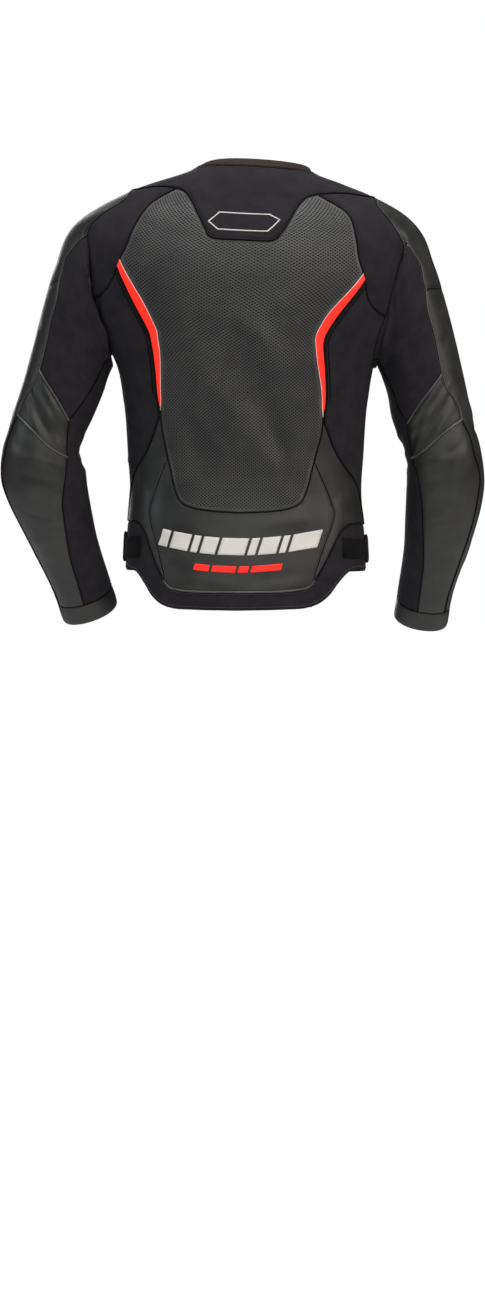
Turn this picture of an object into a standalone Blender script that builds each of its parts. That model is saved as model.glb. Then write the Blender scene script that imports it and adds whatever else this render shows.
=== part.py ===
"""A leather motorcycle jacket, worn and hollow: every cut piece is a thin wall of its own.

Frame: metres, +Z up. The wearer faces -Y and the wearer's left is +X. The origin is the middle of the
neck opening, at the height where the collar is sewn on. The jacket is closed to the collar, and its
sleeves hang away from the sides with the elbows bent.

Two forms carry the cloth. The torso form is read with p, the way round from the spine, and q, the way
down from the neck seam. A sleeve form is read with the angle round the arm and the way down it. A piece
is cut flat in those coordinates and laid on its form, so that pieces meet along their seams.
"""

import math
from collections import namedtuple

import bmesh
import bpy
import numpy as np
from mathutils import Matrix, Vector

MM = 0.001

# Cloth and seams
LEATHER_WALL = 2.0 * MM
TEXTILE_WALL = 1.6 * MM
COLLAR_WALL = 2.6 * MM
TAPE_WALL = 1.2 * MM
SEAM_GAP = 0.3 * MM
CELL = 25 * MM  # size of the facets that a piece is cut into
CURVE_ERROR = 0.35 * MM  # how far an outline's straight runs may leave its curve

# Torso: p is QUARTER at the side and twice that at the front zip
QUARTER = 250 * MM
SQUARENESS = 0.03  # how far a section leaves an ellipse towards a box
SHOULDER_LEAN = 0.05  # the cloth sits this much lower on the wearer's right
NECK_LEAN = 0.6  # share of that lean at the neck
FRONT_MIDDLE = -1 * MM  # x of the front's middle
Ring = namedtuple("Ring", "down side_z half_width back_z back_y front_z front_y mid_x twist")
RINGS_MM = (
    Ring(-16, 16, 80, 19, 66, -18, -70, -15, 0),
    Ring(0, 7, 89, 7, 74, -44, -78, -8, 0),
    Ring(36, -12.5, 143, -17, 90, -68, -96, -1, 0),
    Ring(72, -27.5, 183.5, -48, 105, -94, -110, 1, 1),
    Ring(112, -50, 226, -85, 120, -124, -121, -1, 2),
    Ring(150, -88, 243, -121, 130, -155, -128, -1, 4),
    Ring(195, -150, 242, -166, 135, -190, -133, -1, 6),
    Ring(245, -212, 220, -215, 135, -225, -135, -1, 10),
    Ring(295, -264, 188, -264, 129, -264, -133, -1, 9),
    Ring(350, -320, 176, -320, 118, -320, -127, -1, 7),
    Ring(430, -400, 169.5, -400, 106, -400, -120, -1, 7),
    Ring(480, -450, 166.5, -450, 104, -450, -118, -1, 8),
    Ring(530, -500, 170, -500, 110, -500, -120, -1, 9),
    Ring(590, -560, 173, -560, 117, -560, -122, -1, 10),
    Ring(660, -630, 176, -630, 124, -630, -124, -1, 10),
)
RINGS = np.array(RINGS_MM) * MM

# Armhole: the angle round the sleeve, and the seam's place seen from behind; side is -1 on the front
ArmholePoint = namedtuple("ArmholePoint", "angle x z side")
ARMHOLE_MM = (
    ArmholePoint(0, 177, -21.5, 1),
    ArmholePoint(12, 176, -34, 1),
    ArmholePoint(25, 186, -49, 1),
    ArmholePoint(38, 207, -67, 1),
    ArmholePoint(50, 225, -92, 1),
    ArmholePoint(68, 221, -124, 1),
    ArmholePoint(90, 216, -157, 1),
    ArmholePoint(112, 210, -192, 1),
    ArmholePoint(135, 201, -219, 1),
    ArmholePoint(160, 192, -248, 1),
    ArmholePoint(180, 187.5, -264.5, 1),
    ArmholePoint(212, 191, -250, -1),
    ArmholePoint(236, 201, -222, -1),
    ArmholePoint(257, 209, -190, -1),
    ArmholePoint(275, 214, -156, -1),
    ArmholePoint(292, 218.4, -117, -1),
    ArmholePoint(305, 214.8, -89, -1),
    ArmholePoint(320, 205.3, -64, -1),
    ArmholePoint(333, 194, -46.7, -1),
    ArmholePoint(345, 185, -30.5, -1),
)

# Sleeves: each section's inner and outer edge, seen from behind, and how far it leans forward
Section = namedtuple("Section", "down x_in z_in x_out z_out mid_y half_depth lean")
UPPER_ARM_MM = (
    Section(55, 190, -270, 244, -67, 0, 82, 0),
    Section(110, 192, -275, 273, -128, 0, 78, 0),
    Section(165, 197, -287, 291, -188, 2, 73, 0),
    Section(220, 205, -312, 304.5, -242, 4, 68, 0),
)
LEFT_ARM_MM = (
    Section(275, 219, -346, 320, -298, 7, 63, 0),
    Section(325, 232, -375, 335, -346, 10, 60, 2),
    Section(370, 236, -399, 348.5, -393, 12, 60, 8),
    Section(410, 230, -421, 351, -429, 10, 58, 16),
    Section(455, 226, -450, 343, -459, 3, 56, 22),
    Section(505, 220, -487, 322, -502, -12, 53, 25),
    Section(555, 213, -523, 303, -541, -32, 49, 25),
    Section(605, 200, -567, 281, -588, -53, 45, 25),
    Section(655, 186, -611, 266, -634, -74, 43, 25),
)
RIGHT_ARM_MM = (
    Section(275, 211, -346, 317, -298, 7, 63, 0),
    Section(325, 221, -375, 328, -351, 10, 60, 2),
    Section(370, 230, -401, 339, -393, 12, 60, 8),
    Section(410, 233, -423, 344, -432, 10, 58, 16),
    Section(455, 232, -455, 341, -466, 3, 56, 22),
    Section(505, 231, -495, 331, -507, -12, 53, 25),
    Section(555, 230, -535, 318, -547, -32, 49, 25),
    Section(605, 224, -583, 303, -594, -53, 45, 25),
    Section(655, 217, -629, 296, -640, -74, 43, 25),
)
ARM_SQUARENESS = 0.01
SLEEVE_TURN = 7.0  # degrees that each sleeve is turned outwards from the cut's own place
SLEEVE_END = 655 * MM
DEGREE = 0.001  # a degree round the sleeve is a millimetre of its flat pattern

# Seams of the left half that show from behind: (x, z) of each point in mm
YOKE_TAIL = (
    (0, -103.5), (26, -103.5), (40, -102.8), (47, -100), (53, -91), (64, -70), (76, -47), (85, -36),
    (99, -29.6),
)
YOKE_ARM = ((99, -29.6), (123, -26), (145, -25.3), (160, -26.2))
PANEL_TOP_EDGE = (
    (99, -29.6), (119, -41), (135, -51.5), (146, -64.5), (154, -82), (160, -100), (165, -119), (173, -139),
)
INSERT_INNER = (
    (173, -139), (150, -174), (130, -201), (118, -222), (112.5, -233), (110.7, -252), (111.5, -282),
    (114, -311), (114.3, -338), (115.5, -350.5),
)
INSERT_TOP = ((173, -139), (176.5, -150))
INSERT_OUTER = (
    (176.5, -150), (161, -178), (143, -206), (130, -227), (124.5, -239), (122.3, -258), (121.8, -273),
    (121.2, -304), (119.8, -329), (115.5, -350.5),
)
SHOULDER_LOWER = ((176.5, -150), (182, -169), (189, -181), (197, -188))
PANEL_SIDE = ((115.5, -350.5), (112.5, -375), (108.3, -394), (104.3, -411))
PANEL_BOTTOM = (
    (104.3, -411), (101, -423), (93.5, -454), (87, -468.5), (79, -475.5), (67.5, -480), (42, -484),
    (0, -486.5),
)
SIDE_LOWER = (
    (115.5, -350.5), (122, -368), (128, -384), (136, -401), (146.5, -417), (157.5, -433), (162.5, -446),
)
SHIELD_EDGE = (
    (104.3, -411), (115.5, -437.5), (126.8, -466), (131.7, -483), (129, -501), (119, -532), (111.3, -560),
    (107, -575),
)
HEM_TOP_OUTER = (
    (170, -496), (160, -497), (150, -500), (142.3, -508), (129.5, -536), (119, -560), (107, -582),
)
HEM_TOP_INNER = ((107, -582), (100, -591), (84.5, -595.5), (56, -598), (0, -599))
HEM_EDGE = (
    (172.6, -565), (160, -565.5), (152, -569.5), (139, -585.5), (126, -604), (112.5, -615), (95.5, -621),
    (63, -623.5), (0, -625),
)
HEM_TOP_SIDE_Q = 526 * MM
HEM_EDGE_SIDE_Q = 595 * MM
SIDE_SEAM = ((283, 350), (279, 430), (279, 526))  # (p, q) in mm, on the front side
SIDE_SEAM_P = 279 * MM
SIDE_LINE_P = 246.25 * MM  # where the back's seams reach the side
# Armhole angles where seams arrive
YOKE_ANGLE, SIDE_TOP_ANGLE, SIDE_SEAM_ANGLE = 6, 114, 210
CAP_BACK_ANGLE, TRICEPS_ANGLE, FRONT_ANGLE, CAP_FRONT_ANGLE = 55, 168, 242, 315
ARMHOLE_STEP = 5
ARMHOLE_ROWS = (7 * MM, 15 * MM)  # further rows of points where the sleeve leaves the armhole

# Seams of a sleeve: (angle in degrees, mm down)
CAP_BACK = ((55, 0), (55, 12), (54, 24), (49.5, 60), (46, 80), (44, 92), (49, 106), (51, 118))
CAP_FOOT = ((51, 118), (26, 134), (0, 141), (-25, 136), (-42, 124))
CAP_FRONT = ((-42, 124), (-44, 60), (-45, 0))
STRIP_BACK = ((51, 118), (56, 134), (57.5, 170), (59, 215), (60, 248))
STRIP_ELBOW = ((60, 248), (57, 270), (49, 287), (43, 304), (42, 320))
STRIP_FOREARM = ((42, 320), (34, 348), (33, 372), (25, 398), (29, 430), (31, 480), (34, 550), (34, 627))
STRIP_FRONT = ((-42, 124), (-38, 220), (-32, 340), (-28, 460), (-26, 627))
ELBOW_TOP = ((60, 248), (96, 273), (128, 302))
ELBOW_INNER = ((128, 302), (136, 338), (141, 372))
ELBOW_FOOT = ((42, 320), (64, 328), (84, 338), (112, 357), (141, 372))
FOREARM_INNER = ((141, 372), (131, 411), (123, 445), (116, 490), (104, 573), (98, 627))
TRICEPS_INNER = ((168, 0), (160, 80), (150, 200), (137, 270), (128, 302))
UNDERSLEEVE_FRONT = ((242, 0), (232, 60), (214, 200), (210, 372), (206, 500), (204, 627))

# Main folds on the torso: from and to in mm seen from behind, width and height in mm
Fold = namedtuple("Fold", "x0 z0 x1 z1 width height")
BACK_FOLDS = (
    Fold(84, -258, -30, -428, 30, 5.0),
    Fold(-22, -216, -100, -384, 28, 5.5),
    Fold(8, -240, -62, -392, 24, -5.5),
    Fold(96, -300, 28, -388, 26, -4.5),
    Fold(-70, -300, -108, -424, 24, -3.0),
)
# Main folds on a sleeve: from and to as (angle, mm down), width and height in mm
SleeveFold = namedtuple("SleeveFold", "a0 t0 a1 t1 width height")
SLEEVE_FOLDS = (
    SleeveFold(96, 20, 118, 120, 15, -3.5),
    SleeveFold(128, 20, 140, 130, 14, 3.0),
    SleeveFold(150, 110, 118, 190, 13, -3.0),
    SleeveFold(66, 285, 118, 345, 12, -2.5),
    SleeveFold(86, 285, 130, 330, 10, 2.5),
    SleeveFold(150, 340, 205, 372, 12, -4.0),
    SleeveFold(170, 380, 240, 392, 14, -5.0),
    SleeveFold(160, 412, 225, 420, 12, 3.0),
    SleeveFold(250, 350, 310, 372, 16, -4.0),
    SleeveFold(80, 430, 118, 470, 14, -1.8),
)

# Side adjusters, from the back towards the front
PATCH_BACK_X, PATCH_FRONT_P = 142 * MM, 262 * MM
PATCH_TOP_Z, PATCH_FOOT_Z = -520 * MM, -549 * MM
PATCH_WALL, PATCH_LIFT = 1.4 * MM, 0.4 * MM
STRAP_BACK_P, STRAP_FRONT_P = 240 * MM, 350 * MM
STRAP_TOP_Q, STRAP_FOOT_Q = 541 * MM, 583 * MM
STRAP_WALL, STRAP_LIFT = 2.6 * MM, 2.6 * MM

# Front zip
TAPE_INNER_X, TAPE_OUTER_X = 0.3 * MM, 14 * MM
SLIDER_Q = -6 * MM  # on the collar
SLIDER_LIFT = 0.4 * MM
PLATE_WIDTH, PLATE_HEIGHT, PLATE_THICK, PLATE_BEVEL = 10 * MM, 13 * MM, 2.2 * MM, 0.8 * MM
BRIDGE_WIDTH, BRIDGE_HEIGHT, BRIDGE_THICK, BRIDGE_BEVEL = 3.4 * MM, 9 * MM, 4.6 * MM, 1.0 * MM
PIN_OUT, PIN_DOWN, PIN_HOLE = 4.4 * MM, 2.0 * MM, 1.6 * MM
TAB_WIDTH, TAB_LENGTH, TAB_THICK, TAB_BEVEL = 8 * MM, 28 * MM, 1.4 * MM, 2.5 * MM
SLOT_WIDTH, SLOT_LENGTH = 4.4 * MM, 6.4 * MM
TAB_REST_DOWN, TAB_REST_LIFT = 30 * MM, 1.6 * MM  # the tab points at this place over the cloth below

# Colours and finishes: base colour, roughness, metallic
Finish = namedtuple("Finish", "colour roughness metallic")
FINISHES = {
    "leather": Finish((0.034, 0.035, 0.034), 0.46, 0.0),
    "red_leather": Finish((0.85, 0.025, 0.014), 0.42, 0.0),
    "textile": Finish((0.014, 0.013, 0.016), 0.85, 0.0),
    "neoprene": Finish((0.035, 0.027, 0.021), 0.7, 0.0),
    "hook_tape": Finish((0.008, 0.008, 0.009), 0.95, 0.0),
    "zip_tape": Finish((0.012, 0.012, 0.013), 0.8, 0.0),
    "zip_metal": Finish((0.07, 0.07, 0.075), 0.35, 1.0),
}


def spline(knots, values, at, slopes=None):
    """A smooth curve through values at the knots, read at `at`."""
    knots, values, at = (np.asarray(a, float) for a in (knots, values, at))
    if slopes is None:
        slopes = np.gradient(values, knots, axis=0)
    i = np.clip(np.searchsorted(knots, at) - 1, 0, len(knots) - 2)
    wide = at.shape + (1,) * (values.ndim - 1)
    step = (knots[i + 1] - knots[i]).reshape(wide)
    t = ((at - knots[i]) / (knots[i + 1] - knots[i])).reshape(wide)
    return between(values[i], slopes[i], values[i + 1], slopes[i + 1], step, t)


def between(start, start_slope, end, end_slope, step, t):
    """A cubic between two values with given slopes, at a share t of the step."""
    return (
        (2 * t**3 - 3 * t**2 + 1) * start
        + (t**3 - 2 * t**2 + t) * step * start_slope
        + (3 * t**2 - 2 * t**3) * end
        + (t**3 - t**2) * step * end_slope
    )


def unit(vectors):
    return vectors / np.maximum(np.linalg.norm(vectors, axis=-1, keepdims=True), 1e-12)


def across(angle, square=SQUARENESS):
    """Sideways share of a section at an angle from its back."""
    return (np.sin(angle) + square * np.sin(3 * angle)) / (1 - square)


def deep(angle, square=SQUARENESS):
    """Share of a section's depth at an angle from its back."""
    return (np.cos(angle) - square * np.cos(3 * angle)) / (1 - square)


QUARTER_TURN = np.linspace(0, math.pi / 2, 181)


def torso(p, q):
    """The torso form's points."""
    sideways = np.sin(p / QUARTER * math.pi / 2)
    taken_up = NECK_LEAN + (1 - NECK_LEAN) * np.clip(q / (80 * MM), 0, 1)
    lean = SHOULDER_LEAN * taken_up * np.clip((620 * MM - q) / (400 * MM), 0, 1)
    ring = spline(RINGS[:, 0], RINGS[:, 1:], q - lean * QUARTER * sideways)
    side_z, half_width, back_z, back_y, front_z, front_y, mid_x, twist = np.moveaxis(ring, -1, 0)
    past_side = np.clip(np.abs(p) / QUARTER - 1, 0, 1)
    behind = np.cos(past_side * math.pi / 2) ** 2
    angle = (p + twist * behind) / QUARTER * math.pi / 2
    depth = deep(angle)
    back = depth > 0
    x = FRONT_MIDDLE + (mid_x - FRONT_MIDDLE) * behind + half_width * across(angle)
    y = np.where(back, back_y, -front_y) * depth
    z = side_z + (np.where(back, back_z, front_z) - side_z) * depth**2
    return np.stack([x, y, z], -1)


def angle_across(x, half_width):
    return np.interp(np.abs(x) / half_width, across(QUARTER_TURN), QUARTER_TURN)


def seen_on_torso(x, z, side=1):
    """(p, q) of the point that lies at x and z, on the back, or on the front where side is -1."""
    q = np.linspace(RINGS[0, 0], RINGS[-1, 0], 700)
    ring = spline(RINGS[:, 0], RINGS[:, 1:], q)
    far_z = ring[:, 2] if side > 0 else ring[:, 4]
    height = ring[:, 0] + (far_z - ring[:, 0]) * deep(angle_across(x, ring[:, 1])) ** 2
    down = np.interp(-z, -height, q)
    angle = angle_across(x, spline(RINGS[:, 0], RINGS[:, 2], down))
    if side < 0:
        angle = math.pi - angle
    return math.copysign(float(angle) / (math.pi / 2) * QUARTER, x), float(down)


def front_p(x, q):
    """p of the point x to the side of the front's middle."""
    angle = math.pi - angle_across(x, spline(RINGS[:, 0], RINGS[:, 2], q))
    return float(angle) / (math.pi / 2) * QUARTER


def armhole_table():
    """The armhole as angle, p and q, with both ends lapped so that it reads all round."""
    rows = [(a.angle, *seen_on_torso(a.x * MM, a.z * MM, a.side)) for a in ARMHOLE_MM]
    before = [(a - 360, p, q) for a, p, q in rows[-3:]]
    after = [(a + 360, p, q) for a, p, q in rows[:3]]
    return np.array(before + rows + after)


ARMHOLE = armhole_table()


def armhole(angle):
    """(p, q) of the armhole at an angle round the sleeve in degrees."""
    return spline(ARMHOLE[:, 0], ARMHOLE[:, 1:], np.mod(angle, 360))


def sleeve(side, p, q):
    """A sleeve form's points: p is the angle round the arm, a millimetre to the degree."""
    rows = np.array(UPPER_ARM_MM + (LEFT_ARM_MM if side > 0 else RIGHT_ARM_MM))
    angle = np.radians(p / DEGREE + side * -SLEEVE_TURN * np.clip(q / (100 * MM), 0, 1))
    outward, backward = deep(angle, ARM_SQUARENESS), across(angle, ARM_SQUARENESS)
    start = armhole(p / DEGREE)
    stations = [torso(side * start[..., 0], start[..., 1])]
    for row in rows:
        _, x_in, z_in, x_out, z_out, mid_y, half_depth, lean = row
        tilt = math.radians(lean)
        x = side * ((x_in + x_out) + (x_out - x_in) * outward) / 2
        z = ((z_in + z_out) + (z_out - z_in) * outward) / 2 - half_depth * math.sin(tilt) * backward
        y = mid_y + half_depth * math.cos(tilt) * backward
        stations.append(np.stack([x, y, z], -1) * MM)
    stations = np.stack(stations)
    knots = np.concatenate([[0], rows[:, 0] * MM])
    slopes = np.gradient(stations, knots, axis=0)
    leaving = np.stack([side * 0.85 + 0 * angle, -0.62 * np.sin(angle), -0.2 - 0.2 * np.cos(angle)], -1)
    reach = np.linalg.norm(stations[1] - stations[0], axis=-1, keepdims=True)
    slopes[0] = unit(leaving) * reach / knots[1]
    return along_stations(knots, stations, slopes, q)


def along_stations(knots, stations, slopes, q):
    """Each point's own curve through its stations, read at its own q."""
    i = np.clip(np.searchsorted(knots, q) - 1, 0, len(knots) - 2)
    step = (knots[i + 1] - knots[i])[..., None]
    t = (q - knots[i])[..., None] / step
    pick = np.arange(len(q))
    return between(stations[i, pick], slopes[i, pick], stations[i + 1, pick], slopes[i + 1, pick], step, t)


def torso_relief(p, q):
    return folds_at(p, q, TORSO_FOLDS)


def sleeve_relief(p, q):
    return folds_at(p, q, ARM_FOLDS)


def folds_at(p, q, folds):
    """How far the folds raise the cloth: each is a soft ridge or trough that fades at its ends."""
    height = np.zeros_like(p)
    for p0, q0, p1, q1, width, rise in folds:
        run = np.array([p1 - p0, q1 - q0])
        length = np.hypot(*run)
        along = ((p - p0) * run[0] + (q - q0) * run[1]) / length**2
        aside = ((p - p0) * run[1] - (q - q0) * run[0]) / length
        fade = np.clip(1.35 - np.abs(2 * along - 1), 0, 1)
        height += rise * np.exp(-((aside / width) ** 2)) * fade * fade * (3 - 2 * fade)
    return height


def torso_folds():
    found = []
    for f in BACK_FOLDS:
        start, end = seen_on_torso(f.x0 * MM, f.z0 * MM), seen_on_torso(f.x1 * MM, f.z1 * MM)
        found.append((*start, *end, f.width * MM, f.height * MM))
    return found


TORSO_FOLDS = torso_folds()
ARM_FOLDS = [tuple(v * MM for v in fold) for fold in SLEEVE_FOLDS]


class Form:
    """A surface that pieces are laid on: its points, its folds, which way its pattern faces, extra rows."""

    def __init__(self, points, relief, facing, rows=()):
        self.points, self.relief, self.facing, self.rows = points, relief, facing, rows

    def slopes(self, p, q):
        """How the points move with p and with q."""
        step = 0.5 * MM
        by_p = self.points(p + step, q) - self.points(p - step, q)
        by_q = self.points(p, q + step) - self.points(p, q - step)
        return by_p / (2 * step), by_q / (2 * step)

    def frame(self, p, q):
        """Points, and the outward directions there."""
        return self.points(p, q), unit(np.cross(*self.slopes(p, q))) * self.facing

    def lay(self, p, q, height):
        """Points at a height above the form, with its folds."""
        at, out = self.frame(p, q)
        for seam_points, seam_out in ARMHOLE_SEAMS:
            apart = np.linalg.norm(at[:, None] - seam_points[None], axis=-1)
            nearest = apart.argmin(axis=1)
            share = np.exp(-((apart.min(axis=1) / (6 * MM)) ** 2))[:, None]
            out = unit(out * (1 - share) + seam_out[nearest] * share)
        return at + out * (height + self.relief(p, q))[:, None]


TORSO = Form(torso, torso_relief, 1)
LEFT_SLEEVE = Form(lambda p, q: sleeve(1, p, q), sleeve_relief, -1, ARMHOLE_ROWS)
RIGHT_SLEEVE = Form(lambda p, q: sleeve(-1, p, q), sleeve_relief, 1, ARMHOLE_ROWS)
ARMHOLE_SEAMS = []


def find_armhole_seams():
    """Where torso and sleeve meet, both walls take one direction, so that they don't run together."""
    angles = np.arange(0, 360, 0.5)
    for side, form in ((1, LEFT_SLEEVE), (-1, RIGHT_SLEEVE)):
        start = armhole(angles)
        at, torso_out = TORSO.frame(side * start[:, 0], start[:, 1])
        sleeve_out = form.frame(angles * DEGREE, np.full(len(angles), 1.0 * MM))[1]
        ARMHOLE_SEAMS.append((at, unit(torso_out + sleeve_out)))


def curve(points):
    """A smooth run through the points, with as few straight runs as keep to CURVE_ERROR."""
    points = np.asarray(points, float)
    if len(points) > 2:
        knots = np.concatenate([[0], np.cumsum(np.linalg.norm(np.diff(points, axis=0), axis=1))])
        points = spline(knots, points, np.linspace(0, knots[-1], 12 * len(points)))
    return thinned(points)


def thinned(points):
    """Douglas and Peucker's thinning of a run of points."""
    if len(points) < 3:
        return points
    start, run = points[0], points[-1] - points[0]
    aside = np.abs(np.cross(run, points - start)) / max(np.hypot(*run), 1e-9)
    far = int(aside.argmax())
    if aside[far] < CURVE_ERROR:
        return points[[0, -1]]
    return np.concatenate([thinned(points[: far + 1])[:-1], thinned(points[far:])])


def back_seam(points_mm, start=None, end=None):
    """A torso seam from its places seen from behind, with its ends put on given (p, q)."""
    points = [seen_on_torso(x * MM, z * MM) for x, z in points_mm]
    if start is not None:
        points[0] = tuple(start)
    if end is not None:
        points.append(tuple(end))
    return curve(points)


def armhole_stops(first, last):
    """Angles between two others at which both torso and sleeve have a point of the armhole."""
    fixed = (YOKE_ANGLE, CAP_BACK_ANGLE, SIDE_TOP_ANGLE, TRICEPS_ANGLE, SIDE_SEAM_ANGLE, FRONT_ANGLE)
    fixed += (CAP_FRONT_ANGLE, *range(0, 361, ARMHOLE_STEP))
    return np.array(sorted({first, last, *(a for a in fixed if first < a < last)}), float)


def armhole_run(first, last):
    """The armhole between two angles, as torso (p, q)."""
    return armhole(armhole_stops(first, last))


def sleeve_start(first, last):
    """The armhole between two angles, on the sleeve."""
    stops = armhole_stops(first, last)
    return np.stack([stops * DEGREE, 0 * stops], -1)


def sleeve_seam(points):
    return curve(np.array(points, float) * MM)


def joined(*runs):
    """Runs end to end, as one closed outline."""
    return np.concatenate([run[:-1] for run in runs])


def mirrored(outline):
    return (outline * (-1, 1))[::-1]


def whole(*runs):
    """An outline from runs that go from the spine round the left half and back to the spine."""
    half = np.concatenate([run if k == 0 else run[1:] for k, run in enumerate(runs)])
    return np.concatenate([half, mirrored(half)[1:-1]])


def line(start, end):
    return np.array([start, end], float)


def torso_seams():
    """The named seams of the left half, as runs of (p, q)."""
    neck, top = 0.0, RINGS[0, 0]
    shoulder = (QUARTER, neck)
    hem_side_top, hem_side_foot = (SIDE_LINE_P, HEM_TOP_SIDE_Q), (SIDE_LINE_P, HEM_EDGE_SIDE_Q)
    corner = (SIDE_SEAM_P, HEM_TOP_SIDE_Q)
    foot = (SIDE_SEAM_P, HEM_EDGE_SIDE_Q)
    levels = np.linspace(top, HEM_EDGE_SIDE_Q, 60)
    tape = np.array([(front_p(TAPE_OUTER_X, q), q) for q in levels])
    middle = np.array([(front_p(TAPE_INNER_X, q), q) for q in levels])
    neck_tape = (front_p(TAPE_OUTER_X, neck), neck)
    below = tape[:, 1] > neck
    shield_x, shield_z = HEM_TOP_INNER[0]
    side_rows = [armhole(SIDE_SEAM_ANGLE)] + [(p * MM, q * MM) for p, q in SIDE_SEAM]
    return {
        "collar_top": line((0, top), tape[0]),
        "collar_end": thinned(np.concatenate([tape[~below], [neck_tape]])),
        "neck_back": line((0, neck), shoulder),
        "neck_front": line(shoulder, neck_tape),
        "shoulder": line(shoulder, armhole(0.0)),
        "yoke_tail": back_seam(YOKE_TAIL),
        "yoke_arm": back_seam(YOKE_ARM, end=armhole(YOKE_ANGLE)),
        "panel_top_edge": back_seam(PANEL_TOP_EDGE),
        "insert_inner": back_seam(INSERT_INNER),
        "insert_top": back_seam(INSERT_TOP),
        "insert_outer": back_seam(INSERT_OUTER),
        "shoulder_lower": back_seam(SHOULDER_LOWER, end=armhole(SIDE_TOP_ANGLE)),
        "panel_side": back_seam(PANEL_SIDE),
        "panel_bottom": back_seam(PANEL_BOTTOM),
        "side_lower": back_seam(SIDE_LOWER, end=hem_side_top),
        "shield_edge": back_seam(SHIELD_EDGE, end=seen_on_torso(shield_x * MM, shield_z * MM)),
        "hem_top_outer": back_seam(HEM_TOP_OUTER, start=hem_side_top),
        "hem_top_inner": back_seam(HEM_TOP_INNER),
        "hem_top_side": line(corner, hem_side_top),
        "hem_edge": back_seam(HEM_EDGE, start=hem_side_foot),
        "hem_edge_side": line(foot, hem_side_foot),
        "side_seam": curve(side_rows),
        "hem_seam": line(corner, foot),
        "front_edge": thinned(np.concatenate([[neck_tape], tape[below]])),
        "front_foot": line(tape[-1], foot),
        "middle": thinned(middle),
        "arm_yoke": armhole_run(0, YOKE_ANGLE),
        "arm_shoulder": armhole_run(YOKE_ANGLE, SIDE_TOP_ANGLE),
        "arm_side": armhole_run(SIDE_TOP_ANGLE, SIDE_SEAM_ANGLE),
        "arm_front": armhole_run(SIDE_SEAM_ANGLE, 360),
    }


def torso_pieces():
    """Each torso piece's name, outline, wall and finish."""
    s = torso_seams()
    back = {name: run[::-1] for name, run in s.items()}
    collar = whole(s["collar_top"], s["collar_end"], back["neck_front"], back["neck_back"])
    yoke = whole(s["neck_back"], s["shoulder"], s["arm_yoke"], back["yoke_arm"], back["yoke_tail"])
    panel = whole(s["yoke_tail"], s["panel_top_edge"], s["insert_inner"], s["panel_side"], s["panel_bottom"])
    lower = whole(back["panel_bottom"], s["shield_edge"], s["hem_top_inner"])
    hem = whole(
        back["hem_top_inner"], back["hem_top_outer"], back["hem_top_side"], s["hem_seam"], s["hem_edge_side"],
        s["hem_edge"],
    )
    rows = [
        ("collar", collar, COLLAR_WALL, "neoprene"),
        ("yoke", yoke, TEXTILE_WALL, "textile"),
        ("back_panel", panel, LEATHER_WALL, "leather"),
        ("lower_back", lower, LEATHER_WALL, "leather"),
        ("hem_band", hem, TEXTILE_WALL, "textile"),
    ]
    insert = joined(s["insert_top"], s["insert_outer"], back["insert_inner"])
    shoulder = joined(
        s["yoke_arm"], s["arm_shoulder"], back["shoulder_lower"], back["insert_top"], back["panel_top_edge"]
    )
    side = joined(
        s["shoulder_lower"], s["arm_side"], s["side_seam"], s["hem_top_side"], back["side_lower"],
        back["insert_outer"],
    )
    lower_side = joined(s["side_lower"], s["hem_top_outer"], back["shield_edge"], back["panel_side"])
    front = joined(
        s["neck_front"], s["front_edge"], s["front_foot"], back["hem_seam"], back["side_seam"],
        s["arm_front"], back["shoulder"],
    )
    tape = joined(
        line(s["middle"][0], s["collar_end"][0]), s["collar_end"], s["front_edge"],
        line(s["front_edge"][-1], s["middle"][-1]), back["middle"],
    )
    halves = {
        "back_insert": (insert, LEATHER_WALL, "red_leather"),
        "shoulder_back": (shoulder, TEXTILE_WALL, "textile"),
        "side": (side, TEXTILE_WALL, "textile"),
        "lower_side": (lower_side, LEATHER_WALL, "leather"),
        "front": (front, LEATHER_WALL, "leather"),
        "zip_tape": (tape, TAPE_WALL, "zip_tape"),
    }
    for name, (outline, wall, finish) in halves.items():
        rows.append((name + "_left", outline, wall, finish))
        rows.append((name + "_right", mirrored(outline), wall, finish))
    return rows


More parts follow.
